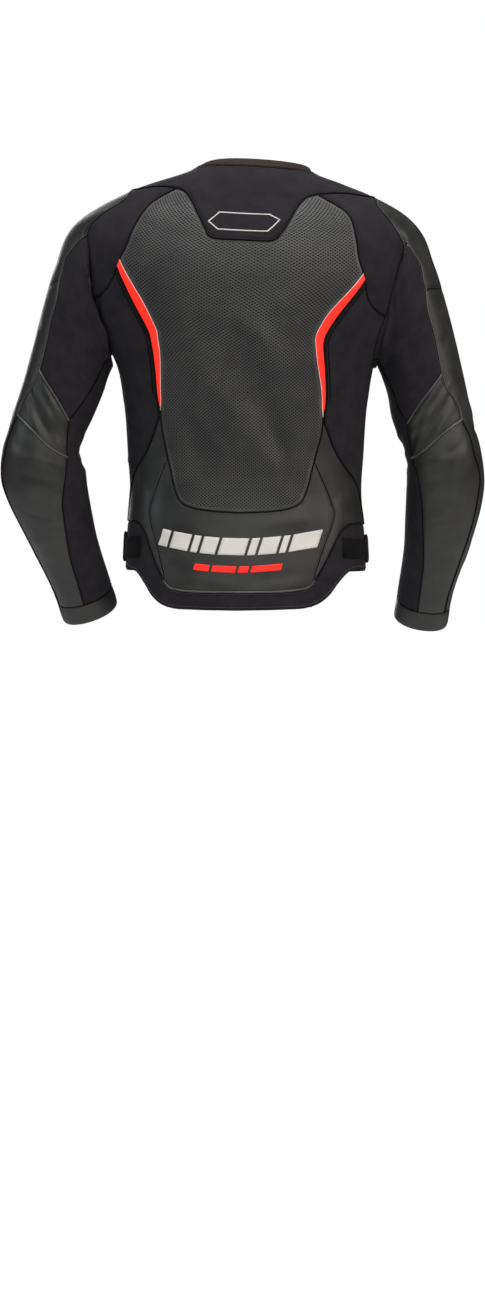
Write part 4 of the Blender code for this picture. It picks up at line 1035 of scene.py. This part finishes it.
def build_groups():
    number, vector = "NodeSocketFloat", "NodeSocketVector"

    graph, given, ends = new_group(
        "leather_grain",
        (("Vector", vector, None), ("Grain", number, 1.0)),
        (("Height", number), ("Tone", number)),
    )
    scale = graph.math("DIVIDE", 1000.0, given["Grain"])
    cells = {"Vector": given["Vector"], "Scale": scale, "Smoothness": 0.6}
    pebble = graph.add("ShaderNodeTexVoronoi", cells, feature="SMOOTH_F1")
    wrinkle = graph.noise(given["Vector"], 420.0, 3.0, 0.6)
    rounded = graph.math("SUBTRACT", 1.0, graph.math("MULTIPLY", pebble, pebble))
    height = graph.math("ADD", graph.math("MULTIPLY", rounded, 0.6), graph.math("MULTIPLY", wrinkle, 0.5))
    cloud = graph.smooth(graph.noise(given["Vector"], 26.0, 4.0, 0.6), 0.34, 0.68)
    close_group(graph, ends, Height=height, Tone=cloud)

    graph, given, ends = new_group(
        "woven_cloth",
        (("Vector", vector, None), ("Pitch", number, 0.8)),
        (("Height", number), ("Tone", number)),
    )
    parts = graph.parts(given["Vector"])
    turns = graph.math("DIVIDE", 1000.0 * 2 * math.pi, given["Pitch"])
    across_wave = graph.math("SINE", graph.math("MULTIPLY", parts[0], turns))
    along_wave = graph.math("SINE", graph.math("MULTIPLY", parts[1], turns))
    weave = graph.math("MULTIPLY", across_wave, along_wave)
    fuzz = graph.noise(given["Vector"], 1500.0, 2.0, 0.6)
    height = graph.math("ADD", graph.math("MULTIPLY", weave, 0.35), fuzz)
    patchy = graph.noise(given["Vector"], 38.0, 4.0, 0.65)
    tone = graph.math("ADD", graph.math("MULTIPLY", patchy, 0.6), graph.math("MULTIPLY", fuzz, 0.4))
    close_group(graph, ends, Height=height, Tone=graph.smooth(tone, 0.35, 0.66))

    graph, given, ends = new_group(
        "perforation",
        (("Vector", vector, None), ("Pitch", number, 4.4), ("Radius", number, 0.8)),
        (("Hole", number),),
    )
    parts = graph.parts(given["Vector"])
    nearest = None
    for shift in (0.0, 0.5):
        aside = []
        for part in parts[:2]:
            place = graph.math("DIVIDE", graph.math("MULTIPLY", part, 1000.0), given["Pitch"])
            within = graph.math("FRACT", graph.math("ADD", place, shift + 500.0))
            from_middle = graph.math("MULTIPLY", graph.math("SUBTRACT", within, 0.5), given["Pitch"])
            aside.append(graph.math("MULTIPLY", from_middle, from_middle))
        apart = graph.math("SQRT", graph.math("ADD", *aside))
        nearest = apart if nearest is None else graph.math("MINIMUM", nearest, apart)
    past = graph.math("SUBTRACT", nearest, given["Radius"])
    close_group(graph, ends, Hole=graph.smooth(past, 0.15, -0.15))

    graph, given, ends = new_group(
        "seam_marks",
        (("Distance", number, 10.0), ("Row", number, 3.2), ("Vector", vector, None)),
        (("Wear", number), ("Groove", number)),
    )
    # Scuff and highlight: a patchy lightening within 2.4 mm of a seam, partly wear and partly a painted
    # highlight on the rolled edge
    edge_patches = graph.noise(given["Vector"], 140.0, 3.0, 0.7)
    near = graph.smooth(given["Distance"], 2.4, 0.2)
    scuff_and_highlight = graph.math("MULTIPLY", near, graph.smooth(edge_patches, 0.3, 0.65))
    off_row = graph.math("ABSOLUTE", graph.math("SUBTRACT", given["Distance"], given["Row"]))
    close_group(graph, ends, Wear=scuff_and_highlight, Groove=graph.smooth(off_row, 0.9, 0.1))


Look = namedtuple("Look", "kind colour second roughness metallic scale bump")
LOOKS = {
    "leather": Look("leather", (0.0185, 0.019, 0.0183), (0.0290, 0.0290, 0.0272), 0.46, 0.0, 1.0, 0.4),
    "perforated": Look("leather", (0.040, 0.0405, 0.0402), (0.055, 0.055, 0.052), 0.44, 0.0, 1.0, 0.3),
    "red_leather": Look("leather", (0.93, 0.016, 0.008), (0.97, 0.026, 0.012), 0.45, 0.0, 0.8, 0.2),
    "leather_trim": Look("leather", (0.040, 0.040, 0.038), (0.075, 0.074, 0.07), 0.36, 0.0, 0.8, 0.2),
    "textile": Look("woven", (0.0160, 0.0146, 0.0175), (0.0250, 0.0228, 0.0268), 0.85, 0.0, 0.9, 0.22),
    "neoprene": Look("woven", (0.026, 0.0195, 0.0155), (0.038, 0.029, 0.024), 0.75, 0.0, 0.7, 0.2),
    "piping": Look("woven", (0.003, 0.003, 0.003), (0.006, 0.006, 0.006), 0.5, 0.0, 0.6, 0.15),
    "hook_tape": Look("woven", (0.004, 0.004, 0.0045), (0.010, 0.010, 0.011), 0.95, 0.0, 1.6, 1.2),
    "zip_tape": Look("woven", (0.008, 0.008, 0.009), (0.014, 0.014, 0.015), 0.85, 0.0, 0.8, 0.3),
    "lining": Look("woven", (0.012, 0.012, 0.013), (0.03, 0.03, 0.032), 0.9, 0.0, 2.2, 0.6),
    "thread": Look("woven", (0.065, 0.065, 0.063), (0.10, 0.10, 0.095), 0.7, 0.0, 0.5, 0.2),
    "print_grey": Look("print", (0.60, 0.58, 0.55), (0.66, 0.64, 0.60), 0.5, 0.0, 1.0, 0.12),
    "print_red": Look("print", (0.85, 0.02, 0.014), (0.9, 0.03, 0.02), 0.5, 0.0, 1.0, 0.12),
    "zip_metal": Look("metal", (0.05, 0.05, 0.053), (0.09, 0.09, 0.09), 0.34, 1.0, 1.0, 0.1),
}
# Painted glow: these finishes give off light of their own colour, so that they look brighter than the lamps
# make them
PAINTED_GLOW = {"red_leather": 0.85, "print_red": 0.45, "print_grey": 0.12}
GLOSS = {"leather": 0.4, "woven": 0.06, "print": 0.2, "metal": 0.5}


def build_material(name, look, sizes):
    made = bpy.data.materials.new(name)
    FINISHES[name] = made
    made.use_nodes = True
    graph = Graph(made.node_tree)
    shader = made.node_tree.nodes["Principled BSDF"]
    place = graph.add("ShaderNodeTexCoord", out=3)
    cut = graph.add("ShaderNodeUVMap", uv_map="cut")
    on_cloth = name in EDGES
    if look.kind == "woven" and (on_cloth or name == "lining"):
        grain = graph.group("woven_cloth", {"Vector": cut, "Pitch": look.scale})
    elif look.kind == "woven":
        grain = graph.group("woven_cloth", {"Vector": place, "Pitch": look.scale})
    else:
        grain = graph.group("leather_grain", {"Vector": place, "Grain": look.scale})
    height, tone = grain["Height"], grain["Tone"]
    colour = graph.mix(tone, (*look.colour, 1), (*look.second, 1))
    rough = graph.math("ADD", look.roughness - 0.05, graph.math("MULTIPLY", tone, 0.1))
    if on_cloth:
        seam = graph.add("ShaderNodeAttribute", out=2, attribute_name="seam")
        marks = graph.group("seam_marks", {"Distance": seam, "Vector": place})
        # Along its seams the leather is painted lighter: partly wear, partly a painted highlight
        scuffed_highlight_colour = tuple(min(c * 1.7 + 0.01, 1) for c in look.second)
        if look.kind == "leather":
            colour = graph.mix(graph.math("MULTIPLY", marks["Wear"], 0.6), colour, (*scuffed_highlight_colour, 1))
            height = graph.math("SUBTRACT", height, graph.math("MULTIPLY", marks["Groove"], 1.0))
        # Painted shade: the colour darkens towards black within 1.6 mm of a seam, where its groove lies
        shade = graph.smooth(seam, 0.0, 1.6, 0.45, 1.0)
        colour = graph.mix(shade, (0.002, 0.002, 0.002, 1), colour)
    if name == "perforated":
        holes = {"Vector": cut, "Pitch": sizes.hole_pitch, "Radius": sizes.hole_radius}
        hole = graph.group("perforation", holes)["Hole"]
        hole = graph.math("MULTIPLY", hole, graph.smooth(seam, 4.6, 5.4))
        # Each hole is painted near black: partly the dark lining seen through it, partly painted shade inside
        # it
        colour = graph.mix(graph.math("MULTIPLY", hole, 0.96), colour, (0.0015, 0.0015, 0.0015, 1))
        rough = graph.math("ADD", rough, graph.math("MULTIPLY", hole, 0.5), clamp=True)
        height = graph.math("SUBTRACT", height, graph.math("MULTIPLY", hole, 2.5))
    bump = graph.add("ShaderNodeBump", {"Strength": look.bump, "Distance": 0.3 * MM, "Height": height})
    made.node_tree.links.new(colour, shader.inputs["Base Color"])
    made.node_tree.links.new(rough, shader.inputs["Roughness"])
    made.node_tree.links.new(bump, shader.inputs["Normal"])
    shader.inputs["Metallic"].default_value = look.metallic
    shader.inputs["Specular IOR Level"].default_value = GLOSS[look.kind]
    # Painted glow: the finish emits its own colour at the strength listed above
    if name in PAINTED_GLOW:
        shader.inputs["Emission Color"].default_value = (*look.colour, 1)
        shader.inputs["Emission Strength"].default_value = PAINTED_GLOW[name]
    if look.kind == "woven":
        shader.inputs["Sheen Weight"].default_value = 0.02
        shader.inputs["Sheen Roughness"].default_value = 0.5


def build_materials(colours, sizes):
    build_groups()
    for name, look in LOOKS.items():
        if name in JacketColours.__annotations__:
            look = look._replace(colour=tuple(getattr(colours, name)))
        build_material(name, look, sizes)


# Prints: slanted blocks, from the left edge to the right, widths and gaps in mm
GREY_BLOCKS = (
    (0, 13), (17, 44), (48, 58), (62, 84), (88, 126), (130, 141), (145, 170), (174, 183), (187, 226),
)
RED_BLOCKS = ((0, 22), (26, 60), (64, 78), (82, 124))
PRINT_SLANT = 0.3
PRINT_BOW = 0.0011
GREY_PRINT = (-113, -535, 24)  # start x, middle z, height in mm
RED_PRINT = (-62, -567, 9)
FRAME_RADIUS = 0.9 * MM
PRINT_LIFT, FILM_WALL = 0.35 * MM, 0.25 * MM
YOKE_FRAME = ((-50, -79), (-34, -65), (36, -65), (50, -72), (34, -90), (-36, -90))


def bow(x):
    """How far a print rises towards its ends, in mm."""
    return PRINT_BOW * x * x


def print_blocks(name, blocks, start, look):
    left, middle, height = start
    bm = bmesh.new()
    for x0, x1 in blocks:
        lean = PRINT_SLANT * height / 2
        foot, top = -height / 2, height / 2
        corners = ((x0 - lean, foot), (x1 - lean, foot), (x1 + lean, top), (x0 + lean, top))
        # seen from behind, the picture's right is the wearer's right, which is -X
        bm.faces.new([bm.verts.new((-(left + x), middle + bow(left + x) + z, 0)) for x, z in corners])
    bmesh.ops.subdivide_edges(bm, edges=bm.edges[:], cuts=7, use_grid_fill=True)
    return lay_print(name, bm, look)


def lay_print(name, bm, look):
    flat = np.array([seen_on_torso(v.co.x * MM, v.co.y * MM) for v in bm.verts])
    for vert, place in zip(bm.verts, TORSO.lay(flat[:, 0], flat[:, 1], np.full(len(flat), PRINT_LIFT))):
        vert.co = place
    bmesh.ops.recalc_face_normals(bm, faces=bm.faces)
    bm.normal_update()
    for face in bm.faces:
        if face.normal.y < 0:
            face.normal_flip()
    mesh = bpy.data.meshes.new(name)
    bm.to_mesh(mesh)
    bm.free()
    mesh.shade_smooth()
    mesh.materials.append(FINISHES[look])
    piece = new_piece(name, mesh)
    film = piece.modifiers.new("film", "SOLIDIFY")
    film.thickness, film.offset = FILM_WALL, -1
    return piece


def build_prints():
    print_blocks("print_grey_blocks", GREY_BLOCKS, GREY_PRINT, "print_grey")
    print_blocks("print_red_blocks", RED_BLOCKS, RED_PRINT, "print_red")
    points = np.array([seen_on_torso(-x * MM, z * MM) for x, z in (*YOKE_FRAME, YOKE_FRAME[0])])
    run = dense(points, RUN_STEP, closed=False)
    laid = TORSO.lay(run[:, 0], run[:, 1], np.full(len(run), 0.0))
    tube("print_yoke_frame", [laid], FRAME_RADIUS, "print_grey", 1)


def seam_runs():
    """Every named seam, as a run and its form, on the left and on the right."""
    found = {name: ((run, TORSO), (run * (-1, 1), TORSO)) for name, run in torso_seams().items()}
    for name, run in sleeve_seams().items():
        found[name] = ((run, LEFT_SLEEVE), (run, RIGHT_SLEEVE))
    return found


def build_welts():
    seams = seam_runs()
    bands = []
    for turn, (run, form) in zip((-1, 1), seams["insert_outer"]):
        edge = dense(run, RUN_STEP, closed=False)[BAND_ENDS]
        bands.append(over(edge, form, BAND_WIDTH * turn, BAND_HEIGHT))
    tube("welt_insert_band", bands, BAND_RADIUS, "piping")
    for name, radius, height, look in CORDS:
        runs = [over(run, form, 0.0, height * MM) for run, form in seams[name]]
        tube("welt_" + name, runs, radius * MM, look)


def build_sewing(sizes):
    seams = seam_runs()
    for name, rows in SEWN.items():
        dashes = []
        for seam, by in rows:
            height = YOKE_STITCH_HEIGHT if seam == "yoke_tail" else STITCH_HEIGHT
            for turn, (run, form) in zip((1, -1), seams[seam]):
                dashes += stitches(run, form, by * MM * turn, height, sizes.stitch)
        tube(name, dashes, sizes.thread / 2, "thread", 1)


TOOTH = (2.6 * MM, 1.1 * MM, 1.5 * MM)
TOOTH_PITCH = 2.5 * MM
TOOTH_BEVEL = 0.2 * MM
TOOTH_ASIDE, TOOTH_PROUD = 0.9 * MM, 0.5 * MM  # how far it stands beside the middle and off the cloth
ZIP_ENDS = 3 * MM  # the teeth stop this short of the collar's top and of the hem


def build_teeth():
    """Two rows of zip teeth that lock into each other down the middle of the front."""
    q = np.arange(RINGS[0, 0] + ZIP_ENDS, HEM_EDGE_SIDE_Q - ZIP_ENDS, TOOTH_PITCH / 2)
    at, out = TORSO.frame(np.full(len(q), 2 * QUARTER), q)
    down = unit(np.gradient(at, axis=0))
    bm = bmesh.new()
    for k, (place, outward, along) in enumerate(zip(at, out, down)):
        side = 1 if k % 2 else -1
        tooth = bmesh.ops.create_cube(bm, size=1)["verts"]
        bmesh.ops.scale(bm, verts=tooth, vec=TOOTH)
        sideways = np.cross(outward, along)
        turn = axes(Vector(sideways), Vector(along))
        turn.translation = Vector(place + sideways * side * TOOTH_ASIDE + outward * TOOTH_PROUD)
        bmesh.ops.transform(bm, verts=tooth, matrix=turn)
    bmesh.ops.bevel(
        bm, geom=bm.edges[:], affect="EDGES", offset=TOOTH_BEVEL, segments=1, profile=0.5, material=-1
    )
    bmesh.ops.recalc_face_normals(bm, faces=bm.faces)
    mesh = bpy.data.meshes.new("zip_teeth")
    bm.to_mesh(mesh)
    bm.free()
    mesh.materials.append(FINISHES["zip_metal"])
    new_piece("zip_teeth", mesh)


def axes(sideways, up):
    """The turn that takes +X and +Z to two directions."""
    return Matrix((sideways, up.cross(sideways), up)).transposed().to_4x4()


def build_stage():
    bm = bmesh.new()
    bmesh.ops.create_grid(bm, x_segments=1, y_segments=1, size=FLOOR_SIZE / 2)
    mesh = bpy.data.meshes.new("floor")
    bm.to_mesh(mesh)
    bm.free()
    mesh.transform(Matrix.Translation((0, 0, FLOOR_Z)))
    pale = bpy.data.materials.new("floor")
    pale.use_nodes = True
    graph = Graph(pale.node_tree)
    place = graph.add("ShaderNodeTexCoord", out=3)
    tone = graph.noise(place, 3.0, 2.0)
    shader = pale.node_tree.nodes["Principled BSDF"]
    colour = graph.mix(tone, (0.82, 0.82, 0.82, 1), (0.85, 0.85, 0.85, 1))
    pale.node_tree.links.new(colour, shader.inputs["Base Color"])
    seen = graph.add("ShaderNodeLightPath", out=0)
    glow = graph.mix(seen, (0, 0, 0, 1), (FLOOR_GLOW, FLOOR_GLOW, FLOOR_GLOW, 1))
    pale.node_tree.links.new(glow, shader.inputs["Emission Color"])
    shader.inputs["Emission Strength"].default_value = 1.0
    shader.inputs["Roughness"].default_value = 0.9
    mesh.materials.append(pale)
    floor = bpy.data.objects.new("floor", mesh)
    bpy.context.scene.collection.objects.link(floor)

    world = bpy.data.worlds.new("studio")
    world.use_nodes = True
    graph = Graph(world.node_tree)
    seen = graph.add("ShaderNodeLightPath", out=0)
    pale, dim = (1, 1, 1, 1), (AMBIENT, AMBIENT, AMBIENT, 1)
    background = world.node_tree.nodes["Background"]
    world.node_tree.links.new(graph.mix(seen, dim, pale), background.inputs["Color"])
    bpy.context.scene.world = world
    for lamp in LAMPS:
        glow = bpy.data.lights.new(lamp.name, "AREA")
        glow.shape, glow.size, glow.energy, glow.color = "DISK", lamp.size, lamp.watts, lamp.colour
        light = bpy.data.objects.new(lamp.name, glow)
        light.location = lamp.place
        aim = Vector(LIT_PLACE) - Vector(lamp.place)
        light.rotation_euler = aim.to_track_quat("-Z", "Y").to_euler()
        bpy.context.scene.collection.objects.link(light)

    lens = bpy.data.cameras.new("camera")
    lens.lens, lens.sensor_width = LENS, SENSOR_WIDTH
    camera = bpy.data.objects.new("camera", lens)
    camera.location = CAMERA_AT
    camera.rotation_euler = (math.pi / 2, 0, math.pi)
    bpy.context.scene.collection.objects.link(camera)
    bpy.context.scene.camera = camera
    bpy.context.scene.view_settings.view_transform = "Standard"


def build_adjusters():
    """Hook patches on the hem at the sides, and the straps that close onto them."""
    back_p, patch_top = seen_on_torso(PATCH_BACK_X, PATCH_TOP_Z)
    _, patch_foot = seen_on_torso(PATCH_BACK_X, PATCH_FOOT_Z)
    patch = rectangle(back_p, PATCH_FRONT_P, patch_top, patch_foot)
    strap = rectangle(STRAP_BACK_P, STRAP_FRONT_P, STRAP_TOP_Q, STRAP_FOOT_Q)
    for ending, turned in (("_left", lambda o: o), ("_right", mirrored)):
        cloth("hook_patch" + ending, turned(patch), TORSO, PATCH_WALL, "hook_tape", PATCH_LIFT)
        cloth("waist_strap" + ending, turned(strap), TORSO, STRAP_WALL, "textile", STRAP_LIFT)


def rectangle(p0, p1, q0, q1):
    return np.array([(p0, q0), (p1, q0), (p1, q1), (p0, q1)])


def colour_of(label, look, about):
    return bpy.props.FloatVectorProperty(
        name=label, description=about, subtype="COLOR", size=3, min=0, max=1, default=LOOKS[look].colour
    )


class JacketColours(bpy.types.PropertyGroup):
    leather: colour_of("Leather", "leather", "Colour of the black leather")
    red_leather: colour_of("Red leather", "red_leather", "Colour of the two back inserts")
    textile: colour_of("Textile", "textile", "Colour of the stretch textile")
    neoprene: colour_of("Collar", "neoprene", "Colour of the soft collar band")
    thread: colour_of("Thread", "thread", "Colour of the sewing thread")
    print_grey: colour_of("Grey print", "print_grey", "Colour of the printed blocks and of the yoke's frame")


def size_of(label, about, default, least, most, unit="NONE"):
    return bpy.props.FloatProperty(
        name=label, description=about, default=default, min=least, max=most, unit=unit
    )


class JacketSizes(bpy.types.PropertyGroup):
    thread: size_of("Thread", "Thickness of the sewing thread", 0.0008, 0.0002, 0.002, "LENGTH")
    stitch: size_of("Stitch", "Length of a stitch", 0.0027, 0.001, 0.006, "LENGTH")
    hole_pitch: size_of("Hole pitch", "Distance between the holes of a row, in mm", 4.4, 2, 12)
    hole_radius: size_of("Hole radius", "Radius of a hole in the back panel, in mm", 1.12, 0.2, 3)


class JacketOperator:
    bl_options = {"UNDO"}


class JACKET_OT_finishes(JacketOperator, bpy.types.Operator):
    """Makes the leather, textile, thread, print and metal materials"""

    bl_idname = "jacket.finishes"
    bl_label = "Finishes"

    def execute(self, context):
        build_materials(context.scene.jacket_colours, context.scene.jacket_sizes)
        return {"FINISHED"}


class JACKET_OT_torso(JacketOperator, bpy.types.Operator):
    """Cuts the pieces of the torso and lays them on its form"""

    bl_idname = "jacket.torso"
    bl_label = "Torso"

    def execute(self, context):
        find_armhole_seams()
        build_cloth_of(torso_pieces(), TORSO)
        return {"FINISHED"}


class JACKET_OT_sleeves(JacketOperator, bpy.types.Operator):
    """Cuts the pieces of both sleeves and lays them on their forms"""

    bl_idname = "jacket.sleeves"
    bl_label = "Sleeves"

    def execute(self, context):
        for form, ending in ((LEFT_SLEEVE, "_left"), (RIGHT_SLEEVE, "_right")):
            build_cloth_of(sleeve_pieces(), form, ending)
        return {"FINISHED"}


class JACKET_OT_adjusters(JacketOperator, bpy.types.Operator):
    """Puts the hook patches and the waist straps on the hem"""

    bl_idname = "jacket.adjusters"
    bl_label = "Waist adjusters"

    def execute(self, context):
        build_adjusters()
        return {"FINISHED"}


class JACKET_OT_piping(JacketOperator, bpy.types.Operator):
    """Lays piping and rolled edges along the seams"""

    bl_idname = "jacket.piping"
    bl_label = "Piping"

    def execute(self, context):
        build_welts()
        return {"FINISHED"}


class JACKET_OT_sewing(JacketOperator, bpy.types.Operator):
    """Sews rows of stitches beside the seams"""

    bl_idname = "jacket.sewing"
    bl_label = "Sewing"

    def execute(self, context):
        build_sewing(context.scene.jacket_sizes)
        return {"FINISHED"}


class JACKET_OT_prints(JacketOperator, bpy.types.Operator):
    """Prints the plain blocks on the lower back and the frame on the yoke"""

    bl_idname = "jacket.prints"
    bl_label = "Prints"

    def execute(self, context):
        build_prints()
        return {"FINISHED"}


class JACKET_OT_zip(JacketOperator, bpy.types.Operator):
    """Sets the zip's teeth and gives its slider and pull tab their metal"""

    bl_idname = "jacket.zip"
    bl_label = "Zip"

    def execute(self, context):
        build_teeth()
        for node in ("zip_slider", "zip_pull_tab"):
            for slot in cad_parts[node].material_slots:
                slot.material = FINISHES["zip_metal"]
        return {"FINISHED"}


class JACKET_OT_sheets(JacketOperator, bpy.types.Operator):
    """Takes no step of its own; each piece of cloth already keeps its flat cut in its cut UV map"""

    bl_idname = "jacket.sheets"
    bl_label = "Flat cuts"

    def execute(self, context):
        return {"FINISHED"}


class JACKET_OT_stage(JacketOperator, bpy.types.Operator):
    """Sets the floor, the lights and the camera"""

    bl_idname = "jacket.stage"
    bl_label = "Stage"

    def execute(self, context):
        build_stage()
        return {"FINISHED"}


STEPS = (
    JACKET_OT_finishes, JACKET_OT_torso, JACKET_OT_sleeves, JACKET_OT_adjusters, JACKET_OT_piping,
    JACKET_OT_sewing, JACKET_OT_prints, JACKET_OT_zip, JACKET_OT_sheets, JACKET_OT_stage,
)


class JACKET_PT_panel(bpy.types.Panel):
    bl_idname = "JACKET_PT_panel"
    bl_label = "Leather jacket"
    bl_space_type = "VIEW_3D"
    bl_region_type = "UI"
    bl_category = "Jacket"

    def draw(self, context):
        for group in (context.scene.jacket_colours, context.scene.jacket_sizes):
            for label in group.__annotations__:
                self.layout.prop(group, label)
        for step in STEPS:
            self.layout.operator(step.bl_idname)


CLASSES = (JacketColours, JacketSizes, *STEPS, JACKET_PT_panel)


def register():
    for made in CLASSES:
        bpy.utils.register_class(made)
    bpy.types.Scene.jacket_colours = bpy.props.PointerProperty(type=JacketColours)
    bpy.types.Scene.jacket_sizes = bpy.props.PointerProperty(type=JacketSizes)


def unregister():
    del bpy.types.Scene.jacket_sizes
    del bpy.types.Scene.jacket_colours
    for made in reversed(CLASSES):
        bpy.utils.unregister_class(made)


def main():
    register()
    for step in STEPS:
        family, verb = step.bl_idname.split(".")
        getattr(getattr(bpy.ops, family), verb)()


if __name__ == "__main__":
    main()
